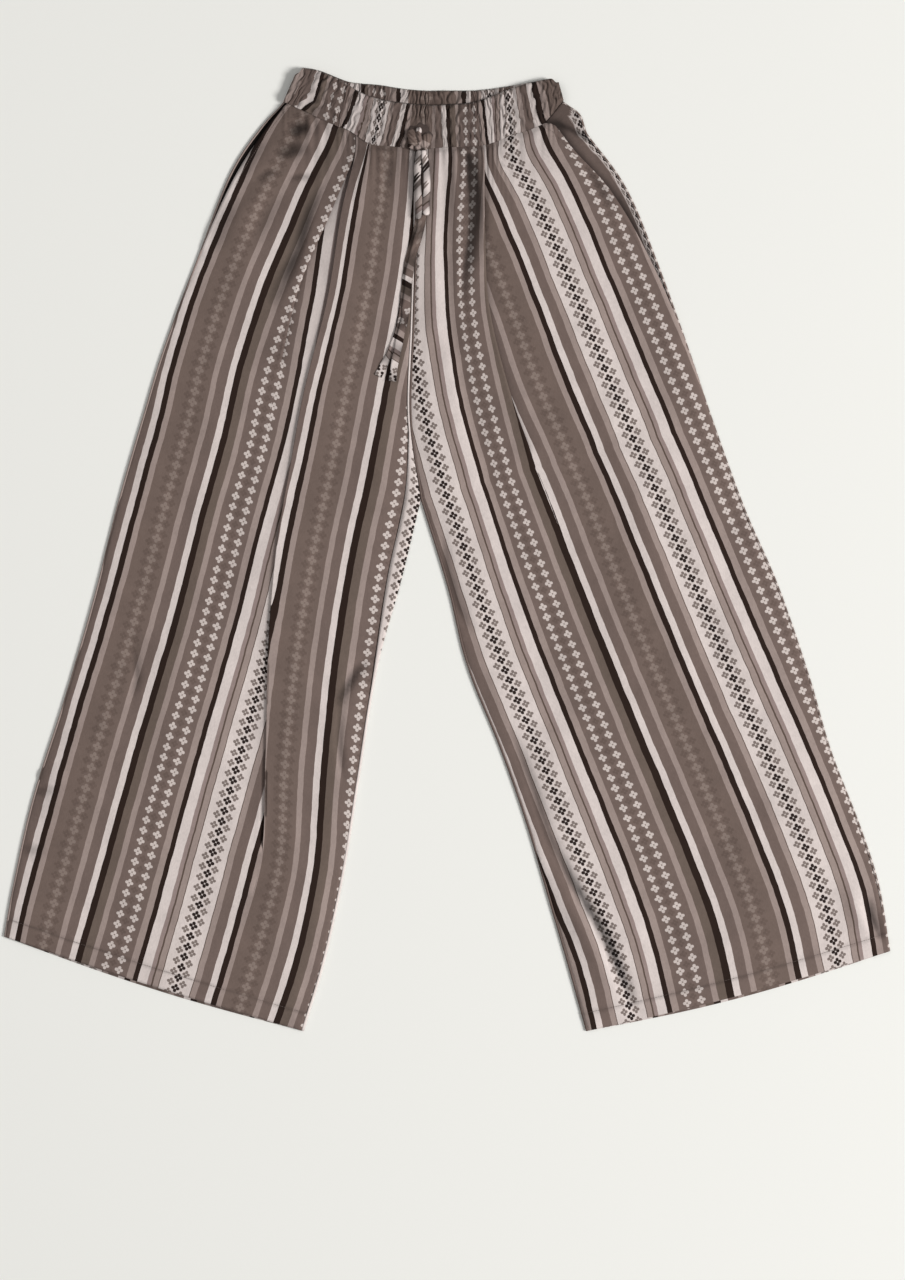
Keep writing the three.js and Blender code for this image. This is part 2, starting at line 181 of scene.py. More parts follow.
LEFT_PRINT = table("inner d240 c c_before c_after d411 d470 out", [
    [204, 34.8, 74.7, 292, 390, 92.7, 137.3, 480],
    [204, 36.3, 76.5, 290, 386, 95.2, 148.5, 494.6],
    [203, 31.4, 78.1, 297, 362, 124.3, 180.4, 512.7],
    [201.7, 38.5, 86.9, 301, 329, 162.8, 220.0, 524],
    [181, 55.8, 113.5, 305, 319.5, 204.3, 262.0, 524],
    [169, 67.7, 130.9, 313, 313, 225.5, 284.4, 518],
    [166.7, 69.9, 138.6, 312, 312, 236.5, 294.8, 512],
    [160.6, 78.7, 150.2, 312, 312, 249.7, 308.6, 513],
    [159, 79.2, 151.3, 312, 312, 251.9, 312.4, 505.6],
    [157, 83.1, 156.8, 312, 312, 258.5, 318.5, 496],
    [149, 90.8, 165.6, 312, 312, 268.4, 327.8, 496],
    [141.4, 94.1, 170.0, 312, 312, 272.8, 332.2, 491],
    [143.6, 92.4, 168.3, 312, 312, 270.6, 325.4, 489],
])
CROTCH_ROW = 5  # on both legs the inner edge turns sharply here

# The waistband's sections, from the seam with the legs to the top edge. The back half lies
# higher than the front half by rise.
BAND = table("seam_x seam_y top_x top_y rise", [
    [-180, 491, -163, 529, 1],
    [-165, 484, -140, 525, 1],
    [-124, 466, -112, 512, 3],
    [-109, 460, -96, 502, 10],
    [-85, 445, -73, 494, 16],
    [-59, 442, -48, 490, 16],
    [-30, 439, -25, 488, 16],
    [-1, 441, -4, 488, 16],
    [31, 442, 26, 490, 14],
    [47, 445, 40, 494, 11],
    [67, 453, 63, 503, 5],
    [106, 467, 90, 512, 1],
    [128, 493, 121, 518, 0],
])
SEAM_EASE = 0.5  # the legs' cloth runs this far in under the waistband
WAIST_BOW_ROWS = 2  # the rows bend with the waist seam down to here
LEGS = {  # sag is how far the hem hangs below a straight line
    "right": {"rows": RIGHT_LEG, "print": RIGHT_PRINT, "inner_at_end": True, "sag": 3},
    "left": {"rows": LEFT_LEG, "print": LEFT_PRINT, "inner_at_end": False, "sag": 5},
}
for side, leg in LEGS.items():
    print(side, "leg has", len(leg["rows"]["start"]), "rows")


# %% Places on a leg
HIP_BULGE = 5.5  # the cloth stands out beside the left end of the waistband
HIP_ROW, HIP_ROWS = 0.42, 0.45  # the row where it does so most, and how many rows it takes
HIP_SHARE, HIP_REACH = 0.8, 0.2  # the share of the row where it starts, and what it takes
HEM_PEEK = 3.0  # how far the back hem shows below the front hem


def band_at(x):
    """The place along the waistband, counted in its sections, whose seam lies at x."""
    return np.interp(x, BAND["seam_x"], np.arange(len(BAND["seam_x"])))


def seam_y(x, back=False):
    """The height of the waistband's seam over x."""
    t = band_at(x)
    return along(BAND["seam_y"], t) + (along(BAND["rise"], t) if back else 0)


def row_ends(leg, t):
    """Both ends of row t in plan, and its length."""
    rows = leg["rows"]
    from_corner, to_corner = (-1, CROTCH_ROW) if leg["inner_at_end"] else (CROTCH_ROW, -1)
    x0, y0 = along(rows["from_x"], t, from_corner), along(rows["from_y"], t, from_corner)
    x1, y1 = along(rows["to_x"], t, to_corner), along(rows["to_y"], t, to_corner)
    return x0, y0, x1, y1, np.hypot(x1 - x0, y1 - y0)


def leg_point(leg, t, distance, back=False):
    """A place on a leg in plan. The first row follows the waist seam, and the last one the hem."""
    rows = leg["rows"]
    x0, y0, x1, y1, length = row_ends(leg, t)
    share = distance / length
    x, y = mix(x0, x1, share), mix(y0, y1, share)
    x_a, y_a, x_b, y_b = (rows[k][0] for k in ("from_x", "from_y", "to_x", "to_y"))
    straight = y_a + (x - x_a) * (y_b - y_a) / (x_b - x_a)
    waist = np.clip(1 - t / WAIST_BOW_ROWS, 0, 1) ** 2
    hem = soft(t - (len(rows["start"]) - 2)) * np.sin(np.pi * share)
    y = y + waist * (seam_y(x, back) + SEAM_EASE - straight)
    if not leg["inner_at_end"]:
        bulge = HIP_BULGE * soft(1 - np.abs(t - HIP_ROW) / HIP_ROWS) \
            * soft((share - HIP_SHARE) / HIP_REACH)
        x, y = x + bulge, y + 0.8 * bulge
    return x, y - hem * (leg["sag"] + (HEM_PEEK if back else 0))


print("crotch at", [round(float(v)) for v in leg_point(LEGS["left"], CROTCH_ROW, 0.0)])

# %% [markdown]
# ## How high the cloth lies
#
# Cloth that is laid flat is thin at its seams, where two layers are sewn together, and a little
# lofted between them, where air is caught. Soft ripples a few centimetres apart run out of the
# gathered waist and die away. These are smooth rules of the distance from a seam, so they are
# written as such instead of being sculpted.

# %% Heights of the front panels
SIDE_TOP = 3.2  # top of the front cloth along its seams
LOFT_TOP = 5.4  # and away from them
LOFT_REACH = 26.0
WAIST_CLIMB, CLIMB_ROWS = 1.5, 1.5  # how much higher it lies at the waist, and down to which row
HEM_ROWS = 0.3
EDGE_TOP = 1.7  # the rounded edge along a side seam
EDGE_REACH, EDGE_ROWS = 5.0, 0.4
TROUGH_DEPTH, TROUGH_WIDTH = 2.2, 15.0  # the long trough down the left leg
POCKET_GAP = 2.5  # from here on a pocket mouth stands open over its facing
SEAM_DIP, DIP_REACH = 0.3, 1.6  # how far the cloth turns down at the waist seam
GATHERS = 41
GATHER_DRIFT = ((0.42, 14.0, 0.6), (0.25, 37.0, 2.1))  # in gathers, waves, phase
GATHER_IN_LEG = 1.6  # the gathers run on into the legs this high
GATHER_FADE = 34.0  # and about this far


def gather_phase(place):
    """How many gathers have passed up to a place along the waistband. They aren't even."""
    w = place / (len(BAND["seam_x"]) - 1)
    phase = GATHERS * w
    for gathers, waves, start in GATHER_DRIFT:
        phase = phase + gathers * np.sin(waves * w + start)
    return phase


def gather_wave(place):
    """The gathers from -1 in a sharp valley to 1 on a round ridge."""
    w = place / (len(BAND["seam_x"]) - 1)
    strength = 0.75 + 0.25 * np.sin(53.0 * w + 1.3)
    return strength * (2 * np.abs(np.cos(np.pi * gather_phase(place))) ** 0.8 - 1)


def front_top(leg, t, distance, x, y):
    """The top of a front panel without its pleats, at row t and a distance along it."""
    rows = leg["rows"]
    length = row_ends(leg, t)[4]
    start = along(rows["start"], t)
    end = np.minimum(along(rows["end"], t), length)
    from_start, from_end = distance - start, end - distance
    gap, inside = (start, from_end) if leg["inner_at_end"] else (length - end, from_start)
    mouth = soft(gap / POCKET_GAP) * soft(inside / LOFT_REACH)
    edge = np.maximum(np.minimum(from_start, from_end), LOFT_REACH * mouth)
    hem = len(rows["start"]) - 1 - t
    full = np.minimum(soft(edge / LOFT_REACH), soft(hem / HEM_ROWS))
    z = mix(SIDE_TOP, LOFT_TOP, full) + WAIST_CLIMB * soft(1 - t / CLIMB_ROWS)
    z = z - (SIDE_TOP - EDGE_TOP) * (1 - soft(edge / EDGE_REACH)) * soft(t / EDGE_ROWS)
    if "trough" in rows:
        from_trough = np.abs(distance - along(rows["trough"], t)) / TROUGH_WIDTH
        z = z - TROUGH_DEPTH * along(rows["depth"], t) * soft(1 - from_trough) * full
    below = seam_y(x) - y
    z = z - SEAM_DIP * (1 - soft((below + SEAM_EASE) / DIP_REACH)) * (t < 1)
    fade = np.exp(-np.maximum(below, 0) / GATHER_FADE)
    return z + GATHER_IN_LEG * fade * gather_wave(band_at(x))


print("the front cloth lies", SIDE_TOP, "mm high at its seams and", LOFT_TOP, "between them")

# %% [markdown]
# ## Pleats as real folds
#
# A pleat is one strip of cloth lying in three layers: the top layer runs to the fold's edge,
# turns under, goes back, turns again and goes on below. A ridge with the print painted over it
# would be easier, but the stripes would then be squeezed instead of hidden. So each row across
# a front panel is a path that goes there and back, and every point on it carries its own place
# in the print.

# %% The shape of one fold
FOLD_POINTS = 15
PLEAT_RISE = 2.6  # how far the top layer stands up at the fold's edge
PLEAT_INNER = 1.7  # and above the tuck's inner end
PLEAT_SPREAD = 24.0  # the raised top layer dies away this far behind the tuck
FLAT_HALF = 0.25  # half the room that a fold's points keep where it has died out
TUCK_LEAST = 0.6  # a fold that hides less than this on each side lies flat
FOLD_EASE = 1.2  # and it stands up in full where it hides this much more
FOLD_NOSE, NOSE_SHARE = 0.4, 0.75  # the fold's round edge, and its share of the height
FOLD_TURN = 0.3  # the round turn at the tuck's inner end
FOLD_GAP = 0.1  # between a fold and the next stretch of its row
PLEATS = {  # whether the top layer comes first in the row, and how far the pleat's painted shade reaches
    "right": {"a": (True, 7.0), "b": (False, 7.0)},
    "left": {"c": (True, 8.0)},
}


def folded(tuck):
    """How much of a fold is left, from 0 where it has died out to 1."""
    return soft((tuck - TUCK_LEAST) / FOLD_EASE)


def pleat_lift(behind, tuck):
    """How far the top layer stands above the bottom one, at a distance behind the edge."""
    over_tuck = mix(PLEAT_RISE, PLEAT_INNER, np.clip(behind / (tuck + 0.1), 0, 1))
    return folded(tuck) * over_tuck * soft(1 - (behind - tuck) / PLEAT_SPREAD)


def fold(edge, before, after, top_first):
    """A fold's points, as distance, print place, lift and whether they are hidden."""
    tuck = abs(after - before) / 2
    back = np.linspace(0, tuck, 6)
    top, half = pleat_lift(0.0, tuck), 0.5 * pleat_lift(back, tuck)
    path = [(0.0, 0.0, top), (-FOLD_NOSE, 0.1, NOSE_SHARE * top), *zip(back, back, half),
            (tuck + FOLD_TURN, tuck, 0.5 * half[-1]),
            *((b, 2 * tuck - b, 0.0) for b in back[::-1])]
    behind, used, lift = np.array(path).T
    hidden = (np.arange(FOLD_POINTS) > 1) & (np.arange(FOLD_POINTS) < FOLD_POINTS - 1)
    flat = np.linspace(-FLAT_HALF, FLAT_HALF, FOLD_POINTS)
    used = used / max(2 * tuck, 1e-6)
    share = folded(tuck)
    if not top_first:
        behind, used, lift = -behind[::-1], 1 - used[::-1], lift[::-1]
        hidden = hidden[::-1]
    distance = edge + mix(flat, -behind, share)
    place = mix(before, after, mix(np.linspace(0, 1, FOLD_POINTS), used, share))
    return np.stack([distance, place, lift, hidden * share], axis=1), tuck


print("a fold has", FOLD_POINTS, "points")


# %% Rows with folds in them
STRETCHES = {  # the columns along a row, the print place at each, and the points up to it
    "right": [("out", 0, 0), ("d312", 312, 26), ("a", 0, 15), ("b", 0, 14), ("d163", 163.5, 4),
              ("d155", 155.5, 3), ("d143", 143, 5), ("d82", 82, 22), ("inner", 0, 16)],
    "left": [("inner", 0, 0), ("d240", 240.5, 20), ("c", 0, 22), ("d411", 411, 26),
             ("d470", 470.5, 20), ("out", 0, 14)],
}


def run(d0, u0, d1, u1, count):
    """An open stretch of a row: distances and print places, without its last point."""
    k = np.arange(count) / count
    return np.stack([mix(d0, d1, k), mix(u0, u1, k), 0 * k, 0 * k], axis=1)


def panel_row(side, t):
    """A row across a front panel. At each pleat it goes back under itself and on again."""
    leg, (first, *middle, last) = LEGS[side], STRETCHES[side]
    at = {k: float(along(v, t)) for k, v in leg["print"].items()}
    end = min(float(along(leg["rows"]["end"], t)), float(row_ends(leg, t)[4]))
    distance, place = float(along(leg["rows"]["start"], t)), at[first[0]]
    further = max if at[last[0]] > place else min
    parts, tops = [], []
    for name, printed, count in middle:
        if name not in PLEATS[side]:
            printed = further(printed, place)
            parts.append(run(distance, place, at[name], printed, count))
            distance, place = at[name], printed
            continue
        top_first = PLEATS[side][name][0]
        bend, tuck = fold(at[name], at[name + "_before"], at[name + "_after"], top_first)
        room = FLAT_HALF * (1 - float(folded(tuck)))
        parts.append(run(distance, place, at[name] - room - (0 if top_first else FOLD_GAP),
                         at[name + "_before"], count))
        done = sum(map(len, parts))
        parts.append(bend)
        tops.append((slice(done) if top_first else slice(done + FOLD_POINTS, None),
                     1 if top_first else -1, at[name], tuck))
        distance, place = at[name] + room + FOLD_GAP, at[name + "_after"]
    parts += [run(distance, place, end, at[last[0]], last[2]), [[end, at[last[0]], 0, 0]]]
    row = np.concatenate(parts)
    for top, way, edge, tuck in tops:
        row[top, 2] = pleat_lift(np.maximum(way * (edge - row[top, 0]), 0), tuck)
    return row


print("a row across the right front panel has", len(panel_row("right", 2.0)), "points")

# %% [markdown]
# ## Creases
#
# The rest of what the eye reads as cloth is creases: soft troughs and ridges where the hand that
# laid the trousers down pushed them together. Each is a short route in plan with a height, a
# width and how much steeper its left side is. A few large ones, listed one by one, look right,
# and fine ones come from noise.

# %% Creases and the unevenness between them
def crease(x, y, height, width, route, skew=0.0):
    """A ridge, or a trough if height is negative, along a route in plan."""
    route = np.array(route, float)
    steps = np.hypot(*np.diff(route, axis=0).T)
    done = np.concatenate([[0], np.cumsum(steps)])
    best = np.full(x.shape, np.inf)
    signed, place = np.zeros(x.shape), np.zeros(x.shape)
    for (x0, y0), (x1, y1), length, before in zip(route[:-1], route[1:], steps, done[:-1]):
        ax, ay = (x1 - x0) / length, (y1 - y0) / length
        s = np.clip((x - x0) * ax + (y - y0) * ay, 0, length)
        away = np.hypot(x - x0 - s * ax, y - y0 - s * ay)
        side = ax * (y - y0) - ay * (x - x0)
        closer = away < best
        best = np.where(closer, away, best)
        signed = np.where(closer, np.sign(side), signed)
        place = np.where(closer, (before + s) / done[-1], place)
    reach = width * np.where(signed > 0, 1 - skew, 1 + skew)
    ends = np.clip(np.sin(np.pi * np.clip(place, 0.02, 0.98)), 0, 1) ** 0.7
    return height * ends * bell(best / reach)


FRONT_CREASES = {  # height, width and route of each, and skew if it has one
    "right": [
        (-2.3, 4.5, [(-344, -101), (-339, -143), (-348, -170)], 0.3),
        (-2.4, 12, [(-196, 452), (-216, 430), (-232, 402)], 0.2),
        (-2.2, 14, [(-226, 396), (-246, 360), (-262, 318)]),
        (2.4, 8, [(-470, -238), (-440, -250), (-415, -246)]),
        (-2.4, 7, [(-470, -262), (-448, -267), (-425, -262)]),
        (-2.2, 8, [(-480, -325), (-459, -331), (-437, -328)]),
        (-3.6, 8, [(-150, 466), (-161, 461), (-176, 455)], 0.2),
        (2.4, 8, [(-130, 456), (-152, 449), (-172, 440)]),
        (-3.2, 9, [(-150, 441), (-170, 437), (-190, 430)], 0.2),
        (-2.6, 4, [(-146, 409), (-162, 409), (-178, 406)]),
        (-2.6, 5, [(-186, 417), (-198, 412), (-213, 404)]),
        (2.0, 10, [(-196, 400), (-214, 380), (-236, 352)]),
        (-2.0, 9, [(-176, 398), (-196, 368), (-214, 330)]),
        (-3.8, 7, [(-134, 408), (-150, 372), (-163, 330), (-182, 286)], 0.3),
        (-2.6, 10, [(-160, 330), (-176, 300), (-196, 262)], 0.3),
        (-1.8, 7, [(-60, 436), (-63, 410), (-66, 386)]),
        (2.0, 9, [(-84, 434), (-90, 404), (-97, 372)]),
        (-3.6, 6, [(-83, -122), (-98, -134), (-124, -176)], 0.2),
        (-2.6, 4.5, [(-117, -170), (-118, -215), (-113, -258)]),
        (1.8, 20, [(-250, 180), (-265, 20), (-300, -160), (-330, -360)]),
        (-1.0, 22, [(-180, 60), (-200, -120), (-220, -300), (-245, -450)]),
        (1.6, 16, [(-150, -80), (-165, -220), (-185, -400)]),
    ],
    "left": [
        (-4.0, 7, [(18, 452), (25, 420), (28, 392), (28, 362), (25, 335), (19, 300), (15, 262)],
         -0.35),
        (-2.2, 13, [(20, 455), (27, 415), (30, 375), (27, 335)]),
        (1.8, 9, [(42, 440), (46, 404), (45, 360), (40, 310)]),
        (-1.5, 6, [(-2, 438), (0, 410), (1, 380), (-2, 340)]),
        (-5.0, 5.5, [(106, -302), (138, -365), (170, -419), (198, -482), (212, -520)]),
        (2.8, 9, [(96, -322), (126, -380), (156, -432), (186, -496)]),
        (-3.0, 4.5, [(-7, 22), (1, -20), (12, -60), (27, -96)]),
        (-2.8, 5.5, [(66, -185), (81, -225), (96, -264), (111, -314), (120, -350)]),
        (-3.4, 6, [(460, -378), (468, -405), (478, -432)]),
        (2.2, 8, [(440, -372), (452, -402), (470, -436)]),
        (1.8, 20, [(150, 200), (210, 30), (270, -140), (340, -330)]),
        (-1.0, 22, [(90, 100), (150, -60), (230, -240), (300, -420)]),
        (1.6, 16, [(230, 120), (290, -40), (360, -200), (420, -330)]),
        (-2.2, 7, [(150, 424), (168, 398), (186, 366)]),
        (-2.4, 5, [(118, 466), (136, 452), (152, 446)]),
        (-2.0, 6, [(170, 408), (182, 394), (204, 362)]),
    ],
}
BACK_CREASES = {
    "right": [
        (1.2, 10, [(-200, 420), (-150, 380), (-110, 300)]),
        (1.3, 9, [(-270, 300), (-230, 260), (-200, 190)]),
        (1.0, 14, [(-300, 60), (-260, -60), (-240, -200)]),
        (1.2, 10, [(-420, -250), (-360, -270), (-300, -262)]),
        (0.9, 16, [(-180, -60), (-210, -240), (-230, -420)]),
    ],
    "left": [
        (1.2, 10, [(150, 400), (110, 360), (70, 290)]),
        (1.3, 9, [(220, 280), (180, 230), (150, 160)]),
        (1.0, 14, [(120, 40), (190, -80), (250, -220)]),
        (1.2, 10, [(420, -300), (370, -330), (300, -350)]),
        (0.9, 16, [(280, 40), (330, -120), (390, -280)]),
    ],
}
UNEVEN_WAVES = (190.0, 130.0, 87.0, 61.0, 43.0)


def uneven(x, y, seed):
    """Low, broad unevenness, the sum of a few waves in different directions."""
    turn = np.random.default_rng(seed)
    z = np.zeros(np.shape(x))
    for wavelength in UNEVEN_WAVES:
        angle, phase = turn.uniform(-0.9, 0.9), turn.uniform(0, 2 * np.pi)
        across = (x * np.cos(angle) + y * np.sin(angle)) / wavelength
        bend = 0.35 * np.sin(y / (2.3 * wavelength) + phase)
        z += (wavelength / UNEVEN_WAVES[0]) ** 0.6 * np.sin(2 * np.pi * (across + bend) + phase)
    return z / 2.5


print(sum(len(c) for kind in (FRONT_CREASES, BACK_CREASES) for c in kind.values()),
      "creases are placed by hand")

# %% [markdown]
# ## The printed cloth
#
# The print repeats every 230 mm across the grain. A picture of it would do on a real fabric
# designer's screen, but here it is a rule: a ladder of colours over the place across the grain,
# and rows of four-petal flowers whose petals are four small ovals. The mesh carries both places
# as its UV map, so the print bends, fans out and hides in the folds with the cloth.

# %% Colours of the print
REPEAT = 230.0
FLOWER_PITCH = 11.9


def colour(r, g, b):
    """A colour seen on a screen, as the light it stands for."""
    def light(c):
        c = c / 255
        return c / 12.92 if c <= 0.04045 else ((c + 0.055) / 1.055) ** 2.4
    return (light(r), light(g), light(b), 1.0)


OFF_WHITE = colour(215, 205, 201)
BLACK_BROWN = colour(41, 28, 22)
LIGHT_TAUPE = colour(156, 141, 135)
MAUVE_BROWN = colour(114, 99, 93)
WIDE_BROWN = colour(113, 98, 91)
OLIVE_BROWN = colour(106, 93, 85)
TAUPE_PINK = colour(150, 134, 130)
FINE_LINE = colour(92, 78, 70)

PALE_INK = colour(205, 195, 190)
GREY_INK = colour(112, 100, 94)
DARK_INK = colour(40, 30, 26)
DOT_INK, SHADOW_INK, FADED_INK = colour(78, 64, 58), colour(82, 68, 62), colour(160, 146, 138)

STRIPES = [  # where each stripe begins, and its colour
    (0, OFF_WHITE), (10.5, BLACK_BROWN), (16, LIGHT_TAUPE), (22.5, MAUVE_BROWN),
    (60, LIGHT_TAUPE), (66, OLIVE_BROWN), (75, BLACK_BROWN), (82, OFF_WHITE),
    (89.5, MAUVE_BROWN), (100, LIGHT_TAUPE), (106.5, WIDE_BROWN), (143, LIGHT_TAUPE),
    (149.5, BLACK_BROWN), (155.5, OFF_WHITE), (163.5, MAUVE_BROWN), (173.5, LIGHT_TAUPE),
    (180, FINE_LINE), (181, OFF_WHITE), (216, FINE_LINE), (217, LIGHT_TAUPE),
    (223.5, FINE_LINE), (225, TAUPE_PINK),
]
FLOWERS = [  # place across the grain, shift along it in pitches, size, colour, strength
    (33, 0.0, 8.6, PALE_INK, 0.95),
    (48.5, 0.0, 8.6, PALE_INK, 0.95),
    (40.8, 0.5, 7.4, DOT_INK, 0.35),
    (191.5, 0.5, 8.0, GREY_INK, 0.9),
    (198.6, 0.0, 9.0, DARK_INK, 1.0),
    (205.8, 0.5, 8.0, GREY_INK, 0.9),
    (122.5, 0.0, 9.5, FADED_INK, 0.42),
    (115.5, 0.5, 8.0, SHADOW_INK, 0.35),
    (130.0, 0.5, 8.0, SHADOW_INK, 0.35),
]
print(len(STRIPES), "stripes and", len(FLOWERS), "columns of flowers in", REPEAT, "mm")


# %% Node helpers
def node(tree, kind, inputs=(), **settings):
    """A shader node with its settings, and its inputs linked from sockets or set to values."""
    made = tree.nodes.new(kind)
    for key, value in settings.items():
        setattr(made, key, value)
    for key, value in dict(inputs).items():
        if isinstance(value, bpy.types.NodeSocket):
            tree.links.new(value, made.inputs[key])
        else:
            made.inputs[key].default_value = value
    return made


def maths(tree):
    """Any Math node of a tree, and short names for the four common ones."""
    def step(operation, *values, clamp=False):
        return node(tree, "ShaderNodeMath", enumerate(values), operation=operation,
                    use_clamp=clamp).outputs[0]
    common = ("ADD", "SUBTRACT", "MULTIPLY", "DIVIDE")
    return step, *(functools.partial(step, operation) for operation in common)


def noise(tree, vector, scale, detail, **more):
    """How strong a noise is at a place."""
    return node(tree, "ShaderNodeTexNoise", {
        "Vector": vector, "Scale": scale, "Detail": detail, **more}).outputs[0]


def paint(name, **sockets):
    """A new material and its shader, with some of the shader's sockets set."""
    material = bpy.data.materials.new(name)
    material.use_nodes = True
    shader = material.node_tree.nodes["Principled BSDF"]
    for socket, value in sockets.items():
        shader.inputs[socket.replace("_", " ")].default_value = value
    return material, shader


# %% One column of four-petal flowers
PETAL_MIDDLE, PETAL_LENGTH, PETAL_WIDTH = 0.30, 0.23, 0.21  # in shares of a flower's size
INK_EDGE, INK_SHARPNESS = 1.15, 3.0


def flower_group():
    """A node group: how strongly one column of flowers prints at a place on the cloth."""
    group = bpy.data.node_groups.new("Flower column", "ShaderNodeTree")
    for name in ("Across", "Along", "Column", "Shift", "Size"):
        group.interface.new_socket(name, in_out="INPUT", socket_type="NodeSocketFloat")
    group.interface.new_socket("Mask", in_out="OUTPUT", socket_type="NodeSocketFloat")
    put_in = group.nodes.new("NodeGroupInput").outputs
    step, add, less, times, over = maths(group)
    turns = add(over(put_in["Along"], FLOWER_PITCH), put_in["Shift"])
    up = times(less(step("FRACT", turns), 0.5), FLOWER_PITCH)
    up = over(step("ABSOLUTE", up), put_in["Size"])
    across = less(put_in["Across"], put_in["Column"])
    across = over(step("ABSOLUTE", across), put_in["Size"])
    out = over(less(step("MAXIMUM", across, up), PETAL_MIDDLE), PETAL_LENGTH)
    aside = over(step("MINIMUM", across, up), PETAL_WIDTH)
    petal = add(times(out, out), times(aside, aside))
    mask = times(less(INK_EDGE, petal), INK_SHARPNESS, clamp=True)
    group.links.new(mask, group.nodes.new("NodeGroupOutput").inputs[0])
    return group


FLOWER_COLUMN = flower_group()
print("the flower group has", len(FLOWER_COLUMN.nodes), "nodes")


# %% The cloth's material
PRINT_WANDER = 1.6  # how far the print's edges wander on the threads, in mm
FLECKS, CLOUDS, EVEN_TONE = 0.34, 0.26, 0.70  # what gives the cloth its tone
HOLLOW_SHADE = 0.8  # painted shade: the cloth's colour is darkened by up to this share where its shade attribute is 1
WEAVE_RELIEF = 0.05  # the height of the weave beside the crumples
WANDER_SCALE, CLOUD_SCALE, WEAVE_SCALE, CRUMPLE_SCALE = 60.0, 35.0, 520.0, 38.0
FLECK_SCALE = (900.0, 260.0, 1.0)  # flecks are long along the grain
BUMP_DEPTH, BUMP_STRENGTH = 0.0030, 0.55


def printed_cloth(name, shade=1.0):
    """Thin printed viscose. The UV map gives the place across and along the grain, in metres."""
    material, shader = paint(name, Roughness=0.82, Specular_IOR_Level=0.15, Sheen_Weight=0.05,
                             Sheen_Roughness=0.5)
    tree = material.node_tree
    step, add, less, times, over = maths(tree)
    uv = node(tree, "ShaderNodeUVMap").outputs[0]
    place = node(tree, "ShaderNodeSeparateXYZ", {0: uv}).outputs
    wander = times(less(noise(tree, uv, WANDER_SCALE, 2.0), 0.5), PRINT_WANDER)
    across, up = (add(times(place[k], 1 / MM), wander) for k in (0, 1))
    in_repeat = times(step("FRACT", over(across, REPEAT)), REPEAT)
    ramp = node(tree, "ShaderNodeValToRGB", {0: over(in_repeat, REPEAT)})
    ramp.color_ramp.interpolation = "CONSTANT"
    stripes = ramp.color_ramp.elements
    stripes.remove(stripes[-1])
    stripes[0].position, stripes[0].color = STRIPES[0]
    for start, stripe in STRIPES[1:]:
        stripes.new(start / REPEAT).color = stripe
    shown = ramp.outputs[0]
    for column, shift, size, ink, strength in FLOWERS:
        flower = node(tree, "ShaderNodeGroup", {
            "Across": in_repeat, "Along": up, "Column": column, "Shift": shift, "Size": size},
            node_tree=FLOWER_COLUMN).outputs[0]
        shown = node(tree, "ShaderNodeMix", {0: times(flower, strength), 6: shown, 7: ink},
                     data_type="RGBA").outputs[2]
    yarn = node(tree, "ShaderNodeMapping", {"Vector": uv, "Scale": FLECK_SCALE})
    tone = add(times(noise(tree, yarn.outputs[0], 1.0, 3.0), FLECKS),
               times(noise(tree, uv, CLOUD_SCALE, 4.0), CLOUDS))
    # A shade below 1 gives a darker copy of the cloth, as painted shade.
    tone = times(add(tone, EVEN_TONE), shade)
    # Painted shade: a per-point attribute darkens the print in creases, beside pleats, under the
    # waistband and between gathers.
    deep = node(tree, "ShaderNodeAttribute", attribute_name="Painted shade").outputs["Fac"]
    tone = times(tone, less(1.0, times(deep, HOLLOW_SHADE)))
    toned = node(tree, "ShaderNodeVectorMath", {0: shown, "Scale": tone}, operation="SCALE")
    tree.links.new(toned.outputs[0], shader.inputs["Base Color"])
    weave = times(*(node(tree, "ShaderNodeTexWave", {
        "Vector": uv, "Scale": WEAVE_SCALE, "Distortion": 1.2, "Detail": 1.0},
        bands_direction=axis).outputs[1] for axis in ("X", "Y")))
    crumples = noise(tree, node(tree, "ShaderNodeTexCoord").outputs["Object"], CRUMPLE_SCALE,
                     5.0, Roughness=0.55)
    bump = node(tree, "ShaderNodeBump", {
        "Height": add(times(weave, WEAVE_RELIEF), crumples), "Distance": BUMP_DEPTH,
        "Strength": BUMP_STRENGTH})
    tree.links.new(bump.outputs[0], shader.inputs["Normal"])
    return material


CLOTH = printed_cloth("Printed viscose")
print("the cloth's material has", len(CLOTH.node_tree.nodes), "nodes")


# %% Cloth from a grid of points
CLOTH_THICKNESS = 0.3


def grid_object(name, points, across, up, material, painted_shade=None):
    """A piece of cloth from a grid of points in mm. Its UV map holds the place in the print,
    and an attribute holds the painted shade at each point, from 0 to 1, which darkens its colour."""
    rows, columns = points.shape[:2]
    index = np.arange(rows * columns).reshape(rows, columns)
    a, b, c, d = index[:-1, :-1], index[1:, :-1], index[1:, 1:], index[:-1, 1:]
    faces = np.stack([a, b, c, d], axis=-1).reshape(-1, 4)
    mesh = bpy.data.meshes.new(name)
    mesh.from_pydata((points.reshape(-1, 3) * MM).tolist(), [], faces.tolist())
    uv = np.stack([across.ravel(), up.ravel()], axis=1) * MM
    mesh.uv_layers.new(name="Print").data.foreach_set("uv", uv[faces.ravel()].ravel())
    mesh.polygons.foreach_set("use_smooth", [True] * len(faces))
    mesh.materials.append(material)
    if painted_shade is not None:
        deep = mesh.attributes.new("Painted shade", "FLOAT", "POINT")
        deep.data.foreach_set("value", np.clip(painted_shade, 0, 1).ravel())
    mesh.update()
    return put(name, mesh)


def thicken(piece):
    """A thin shell: the grid's own surface is its top, and the wall goes down from there."""
    wall = piece.modifiers.new("Thickness", "SOLIDIFY")
    wall.thickness = CLOTH_THICKNESS * MM
    wall.offset = -1.0
    wall.use_rim = True


def dress(piece, solid):
    """Puts a piece on the trousers' one body, in place of the solid it was made for."""
    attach(piece, "root")
    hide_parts(solid)
    print(piece.name, len(piece.data.vertices), "points")


